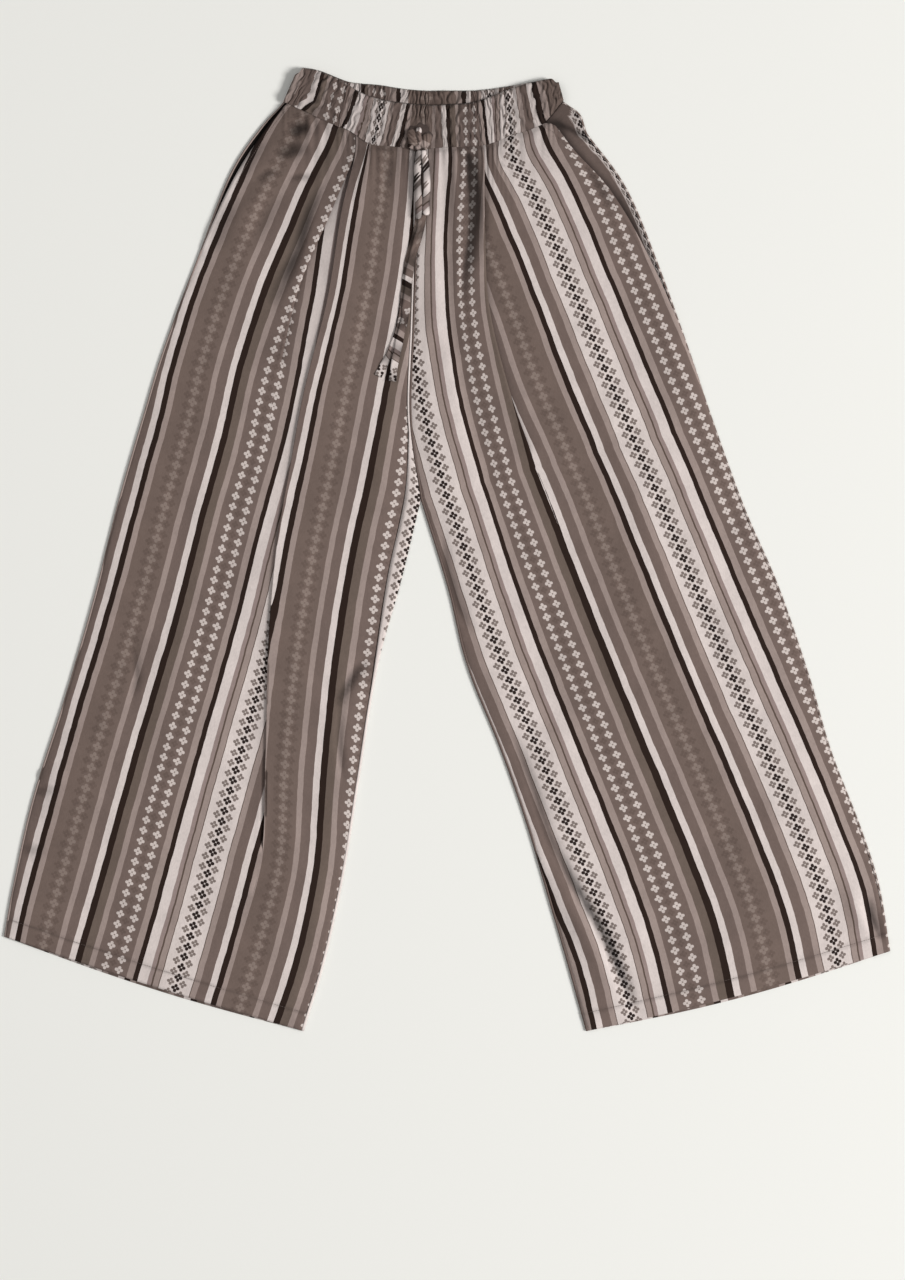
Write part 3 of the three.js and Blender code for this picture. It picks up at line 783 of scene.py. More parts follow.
def length_down(points):
    """How far each point is from the hem, measured along its own column of the grid."""
    steps = np.linalg.norm(np.diff(points, axis=0), axis=2)
    return np.concatenate([np.cumsum(steps[::-1], axis=0)[::-1], np.zeros((1, steps.shape[1]))])


# %% [markdown]
# ## The front panels
#
# Each front panel is one sheet: its rows of folds are laid at the height of the cloth, bent by
# the creases and turned up at the hem. Every point also carries painted shade, which darkens the
# print in the creases, beside the pleats, under the waistband and between the gathers. The
# pleats' hidden layers and the edges over a pocket are kept apart in height, so that no layer
# comes through the one above it.

# %% How the front panels lie
STEPS_PER_ROW = 24
CREASE_START, CREASE_END = 0.5, 0.2  # creases die away over these rows at the waist and the hem
CREASE_SHALLOW, CREASE_DEEP = 0.8, 3.2  # painted shade in a trough starts at the one depth, and grows over this
WAIST_HOLLOW, WAIST_SHADE = 0.2, 80.0  # painted shade under the waistband, and how far it reaches
VALLEY_HOLLOW = 0.45  # painted shade between two gathers
# painted shade on the cloth beyond a pleat's edge
PLEAT_SHADE = 0.38
BROAD_RISE, BROAD_HOLLOW = 0.7, 0.10  # the cloth's unevenness, and the painted shade where it dips
HIDDEN_TOP = 2.2  # a pleat's hidden layers lie flat, below every crease of the top one
UNDER_FOLD, OVER_FOLD = 0.6, 1.2  # the middle layer lies this far above them, and the top one
SEAM_TOP, SEAM_ROLL = 5.4, 4.5  # the cloth rolls down into the waist seam
FRONT_LOW = 1.7  # no crease goes below this
FACING_ROOM = 1.6  # and none below this much more over a pocket's facing
FACING_REACH, FACING_EASE = 30.0, 5.0  # so much of the front lies over it, and its far end
POCKET_ROWS = {"right": 2.5, "left": 3.5}  # how many rows down each pocket reaches
HEM_DEEP, HEM_LIFT = 20.0, 0.4  # how far up the hem is turned, and how much higher it lies
HEM_DIMPLE_AND_SHADE, DIMPLE_WIDTH = 0.35, 1.6  # the stitches draw the cloth in, and the same amount of painted shade darkens the dimple
UNEVENNESS = {"right": 3, "left": 8}  # seeds
print("a front panel has", STEPS_PER_ROW, "steps to each row of its table")


# %% One front panel
def from_pocket(side, t, distance):
    """How far a place on a front panel is from the edge on its pocket's side."""
    rows = LEGS[side]["rows"]
    return distance - along(rows["start"], t) if side == "right" else \
        along(rows["end"], t) - distance


def front_panel(side):
    """One front panel's points, print places, painted shade, and distances from the hem and start.
    """
    leg = LEGS[side]
    last = len(leg["rows"]["start"]) - 1
    ts = np.linspace(0, last, last * STEPS_PER_ROW + 1)
    rows = np.array([panel_row(side, t) for t in ts])
    distance, across, lift, hidden = np.moveaxis(rows, 2, 0)
    t = ts[:, None]
    x, y = leg_point(leg, t, distance)
    z = front_top(leg, t, distance, x, y) + lift
    fade = soft(np.minimum(t / CREASE_START, (last - t) / CREASE_END))
    below = np.maximum(seam_y(x) - y, 0)
    valley = 0.5 - 0.5 * gather_wave(band_at(x))
    # Painted shade: under the waistband, and in the valleys between the gathers.
    painted_shade = WAIST_HOLLOW * np.exp(-below / WAIST_SHADE) \
        + VALLEY_HOLLOW * valley * np.exp(-below / GATHER_FADE)
    # Each crease bends the cloth, and a deep trough also adds painted shade.
    for line in FRONT_CREASES[side]:
        bend = fade * crease(x, y, *line)
        z, painted_shade = z + bend, painted_shade + np.maximum(-bend - CREASE_SHALLOW, 0) / CREASE_DEEP
    # Painted shade on the cloth beyond each pleat's edge.
    for name, (top_first, reach) in PLEATS[side].items():
        edge, before, after = (along(leg["print"][name + which], t)
                               for which in ("", "_before", "_after"))
        beyond = (1 if top_first else -1) * (distance - edge)
        shade = PLEAT_SHADE * folded(np.abs(after - before) / 2)
        painted_shade = painted_shade + (beyond > 0) * shade * np.exp(-beyond / reach)
    broad = uneven(x, y, UNEVENNESS[side])
    z = z + fade * BROAD_RISE * broad
    points = np.stack([x, y, z], axis=-1)
    from_hem = length_down(points * [1, 1, 0])
    dimple = bell((from_hem - HEM_DEEP) / DIMPLE_WIDTH)
    # Painted shade where the broad unevenness dips, and in the hem's dimple.
    painted_shade = painted_shade + BROAD_HOLLOW * np.maximum(-broad, 0) + HEM_DIMPLE_AND_SHADE * dimple
    z = z + HEM_LIFT * soft((HEM_DEEP + 1 - from_hem) / 2) - HEM_DIMPLE_AND_SHADE * dimple
    z = mix(z, np.minimum(z, HIDDEN_TOP + UNDER_FOLD * (lift > 0)), hidden)
    z = mix(z, np.minimum(z, SEAM_TOP), bell(below / SEAM_ROLL))
    over_facing = (t < POCKET_ROWS[side]) * soft(
        (FACING_REACH - from_pocket(side, t, distance)) / FACING_EASE)
    on_top = (lift > 0.3) & (hidden == 0)
    points[..., 2] = np.maximum(z, np.where(on_top, HIDDEN_TOP + OVER_FOLD,
                                            FRONT_LOW + FACING_ROOM * over_facing))
    wobble = 0.15 + 0.6 * np.exp(-below / 140)  # the print wanders, most under the gathers
    across = across + wobble * (np.sin(y / 31.0 + x / 60.0) + 0.7 * np.sin(y / 12.3 - x / 35.0))
    return points, across, painted_shade, from_hem, distance


# %% The two front panels
STITCH_LINES = {}
POCKET_STITCH = 5.0  # how far the stitches are from the pocket's edge
MOUTH_ROWS = {"right": 2.2, "left": 3.1}  # how many rows of the leg a pocket's mouth takes
MOUTH_COLUMNS = {"right": slice(None, 14), "left": slice(None, -14, -1)}  # inwards from its edge


def hem_line(points, from_hem, columns):
    """Where the hem's stitches run, on some columns of the grid."""
    return np.array([[np.interp(-HEM_DEEP, -from_hem[:, j], points[:, j, k]) for k in range(3)]
                     for j in columns])


for side, columns in MOUTH_COLUMNS.items():
    points, across, painted_shade, from_hem, distance = front_panel(side)
    up = length_down(points)
    piece = grid_object(f"{side}_front_cloth", points, across, up, CLOTH, painted_shade)
    thicken(piece)
    dress(piece, f"front_{side}_leg")
    mouth_line = [[np.interp(POCKET_STITCH, abs(distance[i, columns] - distance[i, columns][0]),
                             points[i, columns, k]) for k in range(3)]
                  for i in range(4, int(MOUTH_ROWS[side] * STEPS_PER_ROW), 2)]
    STITCH_LINES[f"{side}_front_stitches"] = [
        hem_line(points, from_hem, range(0, points.shape[1], 2)), np.array(mouth_line)]
    print("it is", points[..., 2].max().round(1), "mm high")

# %% [markdown]
# ## The back panels
#
# The backs lie under the fronts and show only as slivers: along the inner edge of the right leg,
# where the back cloth wraps round to the front, and below the front hems. They are still whole
# panels, because the trousers can be seen from below. Each turns up along both long edges, as
# cloth does at a side seam.

# %% Back panels
BACK_PRINT = {  # print place at the -X end and at the +X end of each leg's back, seen from above
    "right": (523.0, 183.0),
    "left": (168.0, 492.0),
}
BACK_TOP = 1.0
BACK_COLUMNS = 90
BACK_STEPS_PER_ROW = 12
BACK_RISE = 0.12  # the back's unevenness
BACK_UNEVENNESS = {"right": 21, "left": 34}  # seeds
TURNED_EDGE = [[2.0, 2.3], [0.5, 2.1], [0.0, 1.5], [1.0, BACK_TOP]]  # distances and heights
WRAP_LEAST, WRAP_TOP = 2.2, 2.6  # how far an edge wraps over the front at least, and how high


def back_row(leg, t):
    """Distances and heights across a back, with both edges turned up and the inner one over."""
    length = float(row_ends(leg, t)[4])
    shown = max(length - float(along(leg["rows"]["end"], t)), 0) if leg["inner_at_end"] else 0
    wrap = max(shown + 0.2, WRAP_LEAST)
    flat = [[mix(2.0, length - 1.0, k), BACK_TOP] for k in np.linspace(0, 1, BACK_COLUMNS)]
    turn = [[length, 1.5], [length - 0.5, 2.1]]
    over = [[length - wrap * s, WRAP_TOP] for s in (0.35, 0.7, 1.0)]
    row = np.array([*TURNED_EDGE, *flat, *turn, *over])
    return row if leg["inner_at_end"] else [length, 0] + row[::-1] * [-1, 1]


def back_panel(side):
    """The points and print places of one back panel."""
    leg = LEGS[side]
    last = len(leg["rows"]["start"]) - 1
    ts = np.linspace(0, last, last * BACK_STEPS_PER_ROW + 1)
    made = np.array([back_row(leg, t) for t in ts])
    steps = np.hypot(*np.moveaxis(np.diff(made, axis=1), 2, 0))
    distance = np.concatenate([np.zeros((len(ts), 1)), np.cumsum(steps, axis=1)], axis=1)
    x, y = leg_point(leg, ts[:, None], made[..., 0], back=True)
    across = mix(*BACK_PRINT[side], distance / distance[:, -1:])
    z = made[..., 1] + BACK_RISE * uneven(x, y, BACK_UNEVENNESS[side])
    for line in BACK_CREASES[side]:
        z = z + crease(x, y, *line)
    return np.stack([x, y, z], axis=-1), across


for side in LEGS:
    points, across = back_panel(side)
    from_hem = length_down(points)
    piece = grid_object(f"{side}_back_cloth", points, across, from_hem, CLOTH)
    flat_part = range(6, 4 + BACK_COLUMNS, 3)
    STITCH_LINES[f"{side}_back_stitches"] = [
        hem_line(points, from_hem, flat_part) - [0, 0, CLOTH_THICKNESS]]
    thicken(piece)
    dress(piece, f"back_{side}_leg")

# %% [markdown]
# ## The pocket facings
#
# Behind each slanted pocket mouth lies a facing of the same cloth. It is in the shade of the
# mouth, so its material is the same print, a little darker.

# %% Pocket facings
FACING_TUCK = 24.0  # how far a facing runs in under the front
FACING_TOP, FACING_EDGE = 2.5, 0.3
MOUTH_HOLLOW, MOUTH_SHADE = 0.75, 6.0  # painted shade along the mouth, and how far it reaches
FACING_GRID = (60, 28)
FACING_PRINT = {  # distance from the leg's outer edge, and place in the print
    "right": ([0, 11, 40], [155.3, 150, 140]),
    "left": ([0, 1, 1.06, 7], [204, 189, 173, 164.5]),
}
FACING_STRIP = table("row width", [  # how wide the left facing shows
    [0, 0.3], [0.25, 1], [0.45, 11], [0.8, 10], [1.4, 6.5], [4, 6],
])
FACING_ROWS = {"right": 2.34, "left": 3.34}
FACING_FOLDS = {
    "right": (-1.6, 5, [(-190, 466), (-214, 440), (-236, 410)]),
    "left": (-2.2, 3.5, [(116, 471), (131, 464), (155, 451), (172, 438), (192, 418)]),
}
FACING_CLOTH = printed_cloth("Printed viscose in the pocket mouths", shade=0.8)


def facing(side):
    """One facing's points, print places and painted shade."""
    leg = LEGS[side]
    ts = np.linspace(0, FACING_ROWS[side], FACING_GRID[0])[:, None]
    length = row_ends(leg, ts)[4]
    if side == "right":
        low = np.full_like(length, FACING_EDGE)
        high = along(leg["rows"]["start"], ts) + FACING_TUCK
    else:
        low, high = along(leg["rows"]["end"], ts) - FACING_TUCK, length - FACING_EDGE
    distance = mix(low, high, np.linspace(0, 1, FACING_GRID[1])[None, :])
    x, y = leg_point(leg, ts, distance)
    edge = np.minimum(distance, length - distance)
    z = FACING_TOP - 0.9 * (1 - soft(edge / 4)) + 0.15 * uneven(x, y, 5)
    strip = 1 if side == "right" else np.interp(ts, FACING_STRIP["row"], FACING_STRIP["width"])
    from_side, from_mouth = distance, high - distance
    if side == "left":
        from_side, from_mouth = length - distance, distance - low
    across = np.interp(from_side / strip, *FACING_PRINT[side])
    # Painted shade: along the mouth, near the waist, in soft blotches and along the facing's fold.
    painted_shade = MOUTH_HOLLOW * bell((from_mouth - FACING_TUCK) / MOUTH_SHADE) \
        + 0.25 * soft(1 - ts / 1.2)
    fold_line = 0.4 * crease(x, y, *FACING_FOLDS[side])
    painted_shade = painted_shade + 0.15 * uneven(x, y, 12) - fold_line
    return np.stack([x, y, z + fold_line], axis=-1), across, painted_shade


for side in LEGS:
    points, across, painted_shade = facing(side)
    piece = grid_object(f"{side}_pocket_facing", points, across, length_down(points),
                        FACING_CLOTH, painted_shade)
    thicken(piece)
    dress(piece, f"pocket_facing_{side}")

# %% [markdown]
# ## The gathered waistband
#
# A wide elastic runs in a casing of the same cloth. Sewn in stretched and then let go, it draws
# the cloth into narrow upright gathers. Cloth simulation could find them, but it would move the
# stripes at random. Here the gathers are waves over the place along the band, and a table says
# which stripe meets which place at the seam and at the top edge.

# %% The waistband in numbers
BAND_BASE = {"front": 4.6, "back": 0.3}
BAND_DEEP, BAND_HEIGHT = 48.0, 3.2
BAND_STEPS, BAND_ROWS, UNDER_ROWS = 900, 26, 5
BAND_GATHER = 1.5
BAND_EASE = 1.8  # how much cloth goes out of sight in the valley beside each ridge
BAND_LEAN = 0.16  # a gather leans sideways by up to half of this share of a section
BAND_DRIFT = ((0.05, 5, 2.3), (0.05, 11, 5.1), (0.04, 19, -9.7))  # and wavers by these
FINE_GATHERS = 1.83  # there are this many fine gathers to each wide one
# painted shade over the whole band, and more in the valleys of the wide and fine gathers
BAND_HOLLOW, WIDE_HOLLOW, FINE_HOLLOW = 0.17, 0.32, 0.25
BAND_CORNER = 6.0  # how much both upper corners are rounded
BAND_LOW = 0.3  # the share of the band's depth at which the middle column of the table stands
BAND_PRINT = {
    "front": table("seam_x low_x top_x place", [
        [-190, -184, -170, 116], [-164, -149, -139, 85.7], [-128, -126, -117, 41],
        [-116, -108, -98, 13], [-107, -102, -92, 5], [-90, -86, -80, -14],
        [-74, -69, -62, -49], [-60, -54, -46, -70.5], [-1, -2, -4, -144.3],
        [26, 25, 25, -189], [45, 43, 39, -217], [49, 48, 45, -225], [59, 59, 58, -244],
        [81, 80, 75, -279], [101, 96, 89, -300.5], [132, 130, 124, -338],
    ]),
    "back": table("seam_x low_x top_x place", [  # too little of it shows for its stripes to lean
        [-190, -184, -170, 118],
        *([x, x, x, place] for x, place in (
            (-96.8, 85.7), (-91.3, 78.5), (-80, 48.5), (-72, 33), (-52.6, 13.2), (-47.3, 5),
            (-43, 1), (-42.4, 109), (11.7, 146), (18.7, 152.5), (23, 159.5), (37, 181),
            (56, 216), (80, 235))),
        [132, 130, 124, 268],
    ]),
}
print("the print is known at", [len(guide["place"]) for guide in BAND_PRINT.values()], "places")


# %% Waistband
def waistband(half):
    """The points, print places and painted shade of half of the waistband, as a closed flat tube.
    """
    last = len(BAND["seam_x"]) - 1
    place = np.linspace(0, last, BAND_STEPS)[:, None]
    top_side, under = np.linspace(0, 1, BAND_ROWS), np.linspace(1, 0, UNDER_ROWS + 2)[1:-1]
    v = np.concatenate([top_side, under])[None, :]
    is_top = np.concatenate([np.ones(BAND_ROWS), np.zeros(UNDER_ROWS)])[None, :]
    seam = np.interp(place, np.arange(last + 1), BAND["seam_x"])
    rise = along(BAND["rise"], place) if half == "back" else 0
    x = mix(seam, along(BAND["top_x"], place), v)
    y = mix(along(BAND["seam_y"], place), along(BAND["top_y"], place), v) + rise
    top_edge = np.clip((1 - v) * BAND_DEEP / 3.5, 0, 1)
    puff = np.sqrt(np.clip(1 - (1 - top_edge) ** 2, 0, 1)) \
        * (0.25 + 0.75 * soft(v * BAND_DEEP / 9))
    drift = BAND_LEAN * np.sin(place * 3.1 + 0.8) * (v - 0.5)
    for sections, upwards, sideways in BAND_DRIFT:
        drift = drift + sections * np.sin(upwards * v + place * sideways)
    wide_at, fine_at = place + drift, FINE_GATHERS * (place + 0.7 * drift) + 0.3
    wide, fine = gather_wave(wide_at), gather_wave(fine_at)
    fine = fine * (0.55 + 0.45 * np.sin(8 * v + place * 6.3))
    middle = 0.75 + 0.25 * np.cos(2 * np.pi * v)
    relief = BAND_GATHER * middle * (0.9 * wide + 0.7 * fine)
    z = BAND_BASE[half] + is_top * (BAND_HEIGHT * (0.35 + 0.65 * puff)
                                    + relief * (0.3 + 0.7 * puff))
    near_end = soft(1 - np.minimum(place, last - place) / 0.3) ** 2
    y = y - BAND_CORNER * near_end * soft((v - 0.75) / 0.25)
    guides = BAND_PRINT[half]
    across = np.zeros(x.shape)
    for j, depth in enumerate(v[0]):
        guide_x = [np.interp(depth, [0, BAND_LOW, 1], at) for at in
                   zip(guides["seam_x"], guides["low_x"], guides["top_x"])]
        across[:, j] = np.interp(x[:, j], guide_x, guides["place"])
    ridge, fine_ridge = ((gather_phase(at) + 0.5) % 1.0 - 0.5 for at in (wide_at, fine_at))
    across = across + (BAND_EASE * ridge + 0.5 * BAND_EASE * fine_ridge) * \
        (1 if half == "front" else -1)
    # Painted shade: a little over the whole band, and more in the gathers' valleys.
    painted_shade = BAND_HOLLOW + WIDE_HOLLOW * (0.5 - 0.5 * wide) + FINE_HOLLOW * (0.5 - 0.5 * fine)
    points = np.stack([x + 0 * v, y, z], axis=-1)
    up = 1000 + 50 * v + 0 * place
    return [np.concatenate([grid, grid[:, :1]], axis=1) for grid in (points, across, up, painted_shade)]


for half in ("back", "front"):
    points, across, up, painted_shade = waistband(half)
    piece = grid_object(f"{half}_waistband", points, across, up, CLOTH, painted_shade)
    dress(piece, f"waistband_{half}")
    print("it reaches up to", points[..., 2].max().round(1), "mm")

# %% [markdown]
# ## The tie
#
# A narrow band of the same cloth, folded and sewn into a flat tube, comes out of the casing at
# the centre front and is tied in a bow. Two loops hang down with two free ends under them. A
# curve with a flat bevel would be quicker, but a curve can't carry the print along the band and
# round its edges. So each run is a flat tube of rings on a path, and the path follows the same
# route as the solid it stands for, at that solid's height.

# %% Routes of the tie
TIE_ENDS = {
    "tie_end_right": [(-29, 436.8), (-28.5, 415), (-28, 395), (-28.5, 375), (-31, 358),
                      (-35, 343), (-41, 322), (-45, 300), (-47, 278), (-49, 258), (-54, 236),
                      (-61, 218), (-69, 203), (-76, 190)],
    "tie_end_left": [(-26, 436.8), (-25.5, 415), (-25, 395), (-25.5, 375), (-28, 358),
                     (-32, 341), (-38, 320), (-42, 298), (-44, 276), (-46, 256), (-51, 234),
                     (-55, 216), (-58, 200), (-60, 184)],
}
TIE_LOOPS = {
    "tie_loop_right": [(-31.0, 436.8), (-32.4, 415), (-32.3, 395), (-30.8, 378), (-31.8, 362)],
    "tie_loop_left": [(-25.6, 436.8), (-22.6, 415), (-22.0, 395), (-23.4, 380), (-22.4, 366)],
}
DROOP = {"tie_loop_right": -3.0, "tie_loop_left": 2.4}  # outer edges hang over the ends below
END = {  # print is the length from the tip, and the place there
    "width": 8.4, "thickness": 1.5, "bias": (1.0, 0.45),
    "print": ([0, 112, 130, 200, 270], [192, 314, 338, 366, 372]),
}
LOOP = {
    "width": 8.0, "thickness": 3.0, "bias": (0.62, 0.78),
    "print": ([0, 8, 21, 75], [236.5, 229, 217, 183]),
}
TIE_STEP = 1.5
NEAREST = 8


def node_height(name, x, y):
    """The middle height of a solid near a place in plan, in mm."""
    corners = np.array([v.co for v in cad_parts[name].data.vertices]) / MM
    away = np.hypot(corners[:, 0] - x, corners[:, 1] - y)
    near = np.argsort(away)[:NEAREST]
    weight = 1 / (away[near] + 1.0) ** 2
    return float((corners[near, 2] * weight).sum() / weight.sum())


def smooth_route(name, route):
    """Points a step apart along a route in plan, at the solid's height."""
    route = np.array(route, float)
    fine = np.linspace(0, len(route) - 1, 40 * len(route))
    plan = np.stack([along(route[:, 0], fine), along(route[:, 1], fine)], axis=1)
    done = np.concatenate([[0], np.cumsum(np.hypot(*np.diff(plan, axis=0).T))])
    at = np.linspace(0, done[-1], int(done[-1] / TIE_STEP) + 1)
    x, y = np.interp(at, done, plan[:, 0]), np.interp(at, done, plan[:, 1])
    heights = [node_height(name, a, b) for a, b in route]
    z = along(np.array(heights), np.interp(at, done, fine))
    return np.stack([x, y, z], axis=1), at


print("the tie's ends are", END["width"], "mm wide, and its loops", LOOP["width"])


# %% Tie runs
RING_POINTS = 25
RIPPLE, GROOVE = 0.16, 0.3


def capped(values):
    """Values along a band, said once more at both tips."""
    return np.concatenate([values[:1], values, values[-1:]])


def band_run(name, path, at, kind, seed):
    """A flat tube along a path, with a print that runs along it. The band was cut at a slant
    to the stripes: bias says how the print moves across the band, and along it."""
    turn = np.random.default_rng(seed)

    def wave(amount, wavelength):
        return amount * np.sin(at / wavelength + turn.uniform(0, 6))

    width, droop, bias = kind["width"], DROOP.get(name, 0.0), kind["bias"]
    ahead = np.gradient(path, axis=0)
    side = np.stack([-ahead[:, 1], ahead[:, 0], 0 * at], axis=1)
    side /= np.linalg.norm(side, axis=1)[:, None]
    half = width / 2 * (1 + wave(0.05, 7.0) + wave(0.03, 3.1))
    half *= 1 - 0.55 * np.exp(-(at[-1] - at) / 1.2) * (kind is LOOP)
    half *= 1 - 0.3 * np.exp(-at / 9.0)
    lean = wave(0.35, 19.0)
    angle = np.linspace(0, 2 * np.pi, RING_POINTS)
    out = np.sign(np.cos(angle)) * np.abs(np.cos(angle)) ** 0.7
    ripple = RIPPLE * np.sin(at[:, None] / 2.6 + 2.5 * out + turn.uniform(0, 6))
    up = kind["thickness"] / 2 * np.sign(np.sin(angle)) * np.abs(np.sin(angle)) ** 0.55
    groove = 1 - GROOVE * bell((out - 0.15) / 0.13)
    tall = up[None, :] * groove + ripple + lean[:, None] * out * 0.5
    points = path[:, None, :] + side[:, None, :] * (half[:, None] * out[None, :])[..., None]
    points[..., 2] += tall - abs(droop) * np.maximum(out * np.sign(droop), 0) ** 1.5
    tips = [np.repeat(points[k].mean(axis=0)[None, None], RING_POINTS, axis=1) for k in (0, -1)]
    points = np.concatenate([tips[0], points, tips[1]])
    place = capped(np.interp(at[-1] - at, *kind["print"]))[:, None]
    across = place + 0 * angle + bias[1] * width * 0.5 * out[None, :]
    grain = 3.0 + bias[0] * width * (0.5 + 0.5 * out)[None, :] + bias[1] * capped(at)[:, None]
    # Painted shade on the tie: darker towards its edges and in soft bands along it.
    painted_shade = 0.25 + 0.5 * np.abs(out)[None, :] ** 4 + \
        0.35 * np.sin(capped(at)[:, None] / 5.3 + turn.uniform(0, 6))
    return grid_object(name.replace("tie_", "bow_"), points, across, grain, CLOTH, painted_shade)


for seed, (name, route) in enumerate([*TIE_ENDS.items(), *TIE_LOOPS.items()], start=1):
    path, at = smooth_route(name, route)
    kind = LOOP if name in TIE_LOOPS else END
    piece = band_run(name, path, at, kind, seed)
    dress(piece, name)
    print("it is", round(at[-1]), "mm long")

# %% [markdown]
# ## The knot
#
# The knot is the band drawn tight round itself. What one sees of it is a strap down the middle,
# a puffed fold on each side and a few small ones, with dark hollows where the loops come out.
# So it is the highest of a few rounded folds at each place, and each fold has its own stretch of
# the print. That is simpler than a real knotted band and can't be told from it at this size.

# %% Knot
KNOT_CENTRE = (-30.5, 451.0)
KNOT_HALF = (13.5, 15.5)
KNOT_BASE = 8.4
KNOT_FLOOR = 1.2  # how far the dome under the folds stands up
KNOT_FLOOR_PRINT = 95.0
KNOT_CORNER = 2.3  # 2 is an ellipse, and more is squarer
KNOT_GRID = (46, 121)
KNOT_FOLDS = table("x y half_x half_y turn height print slope", [
    [-7.0, 0.0, 7.0, 10.5, 18, 5.8, 128, 0.9],
    [7.4, -3.0, 6.4, 9.5, -24, 5.4, 108, 0.6],
    [-0.4, 1.0, 3.2, 10.5, 8, 7.0, 95, -0.9],
    [0.6, 8.0, 2.3, 3.6, 10, 6.2, 4, 0.2],
    [-1.5, -10.5, 3.6, 3.2, 0, 4.6, 19, 0.2],
    [8.5, -12.0, 4.2, 2.8, -15, 3.8, 103, 0.2],
    [-9.5, -9.5, 3.6, 4.2, 40, 3.6, 150, 0.8],
])


def knot_dome():
    """The knot's top as rings from the rim to the middle, then its closed underside."""
    angle = np.linspace(0, 2 * np.pi, KNOT_GRID[1])[None, :]
    reach = np.concatenate([[0.0], np.linspace(1, 0.01, KNOT_GRID[0])])[:, None]
    corner = (np.abs(np.cos(angle)) ** KNOT_CORNER + np.abs(np.sin(angle)) ** KNOT_CORNER) \
        ** (-1 / KNOT_CORNER)
    rim = 1 + 0.07 * np.sin(5 * angle + 1) + 0.05 * np.sin(9 * angle)
    x = KNOT_HALF[0] * reach * corner * rim * np.cos(angle)
    y = KNOT_HALF[1] * reach * corner * rim * np.sin(angle)
    height = KNOT_FLOOR * np.sqrt(1 - np.clip(reach, 0, 1) ** 2) + 0 * x
    place = 0 * x + KNOT_FLOOR_PRINT
    for x0, y0, half_x, half_y, turn, top, print_place, slope in zip(*KNOT_FOLDS.values()):
        c, s = math.cos(math.radians(turn)), math.sin(math.radians(turn))
        u, w = (x - x0) * c + (y - y0) * s, (y - y0) * c - (x - x0) * s
        inside = 1 - (u / half_x) ** 2 - (w / half_y) ** 2
        fold_height = top * np.sqrt(np.clip(inside, 0, 1)) \
            * (1 - 0.08 * np.cos(u * 1.5 + w * 0.8))
        place = np.where(fold_height > height, print_place + slope * w, place)
        height = np.maximum(height, fold_height)
    z = KNOT_BASE + height
    z[0] = KNOT_BASE
    # Painted shade: the low places between the knot's folds are darkened.
    painted_shade = 0.85 - 0.75 * soft(height / 4.0)
    points = np.stack([x + KNOT_CENTRE[0], y + KNOT_CENTRE[1], z], axis=-1)
    return points[:, ::-1], place[:, ::-1], painted_shade[:, ::-1]


points, across, painted_shade = knot_dome()
knot = grid_object("bow_knot", points, across, 500 + 1.2 * points[..., 1], CLOTH, painted_shade)
dress(knot, "tie_knot")
print("the knot stands", round(float(np.ptp(points[..., 2])), 1), "mm high")

# %% [markdown]
# ## Stitches
#
# The hems are turned up and sewn with one row of stitches, and so is each pocket's edge. One
# short piece of thread repeated along a line is what Geometry Nodes are for: here a node group
# lays the stitches along each line, and its result is kept as a plain mesh. Copying stitches in
# a loop would give the same picture, but each would then be an object of its own.

# %% Stitches
STITCH = {"Spacing": 0.0028, "Stitch length": 0.0020, "Thread radius": 0.00022}  # in metres
THREAD = paint("Brown thread", Base_Color=colour(96, 82, 76), Roughness=0.7)[0]


def stitch_group():
    """Geometry Nodes: short threads laid along every line of a mesh."""
    group = bpy.data.node_groups.new("Row of stitches", "GeometryNodeTree")
    face = group.interface
    face.new_socket("Lines", in_out="INPUT", socket_type="NodeSocketGeometry")
    for name, value in STITCH.items():
        face.new_socket(name, in_out="INPUT", socket_type="NodeSocketFloat").default_value = value
    face.new_socket("Seed", in_out="INPUT", socket_type="NodeSocketInt").default_value = 7
    face.new_socket("Thread", in_out="INPUT", socket_type="NodeSocketMaterial")
    face.new_socket("Stitches", in_out="OUTPUT", socket_type="NodeSocketGeometry")
    put_in = group.nodes.new("NodeGroupInput").outputs
    curve = node(group, "GeometryNodeMeshToCurve", {0: put_in["Lines"]}).outputs[0]
    spaced = node(group, "GeometryNodeResampleCurve", {
        "Curve": curve, "Length": put_in["Spacing"]}, mode="LENGTH")
    stitch = node(group, "GeometryNodeMeshCylinder", {
        "Vertices": 6, "Radius": put_in["Thread radius"], "Depth": put_in["Stitch length"]})
    turned = node(group, "FunctionNodeAlignRotationToVector", {
        "Vector": node(group, "GeometryNodeInputTangent").outputs[0]}, axis="Z")
    size = node(group, "FunctionNodeRandomValue", {2: 0.85, 3: 1.1, "Seed": put_in["Seed"]},
                data_type="FLOAT")
    laid = node(group, "GeometryNodeInstanceOnPoints", {
        "Points": spaced.outputs[0], "Instance": stitch.outputs[0],
        "Rotation": turned.outputs[0], "Scale": size.outputs[1]})
    real = node(group, "GeometryNodeRealizeInstances", {0: laid.outputs[0]})
    painted = node(group, "GeometryNodeSetMaterial", {
        "Geometry": real.outputs[0], "Material": put_in["Thread"]})
    group.links.new(painted.outputs[0], group.nodes.new("NodeGroupOutput").inputs[0])
    return group


STITCHES = stitch_group()
print("the stitch group has", len(STITCHES.nodes), "nodes")


# %% Sew the hems and the pockets' edges
STITCH_LIFT = 0.05  # off the cloth: up on a front, and down on a back


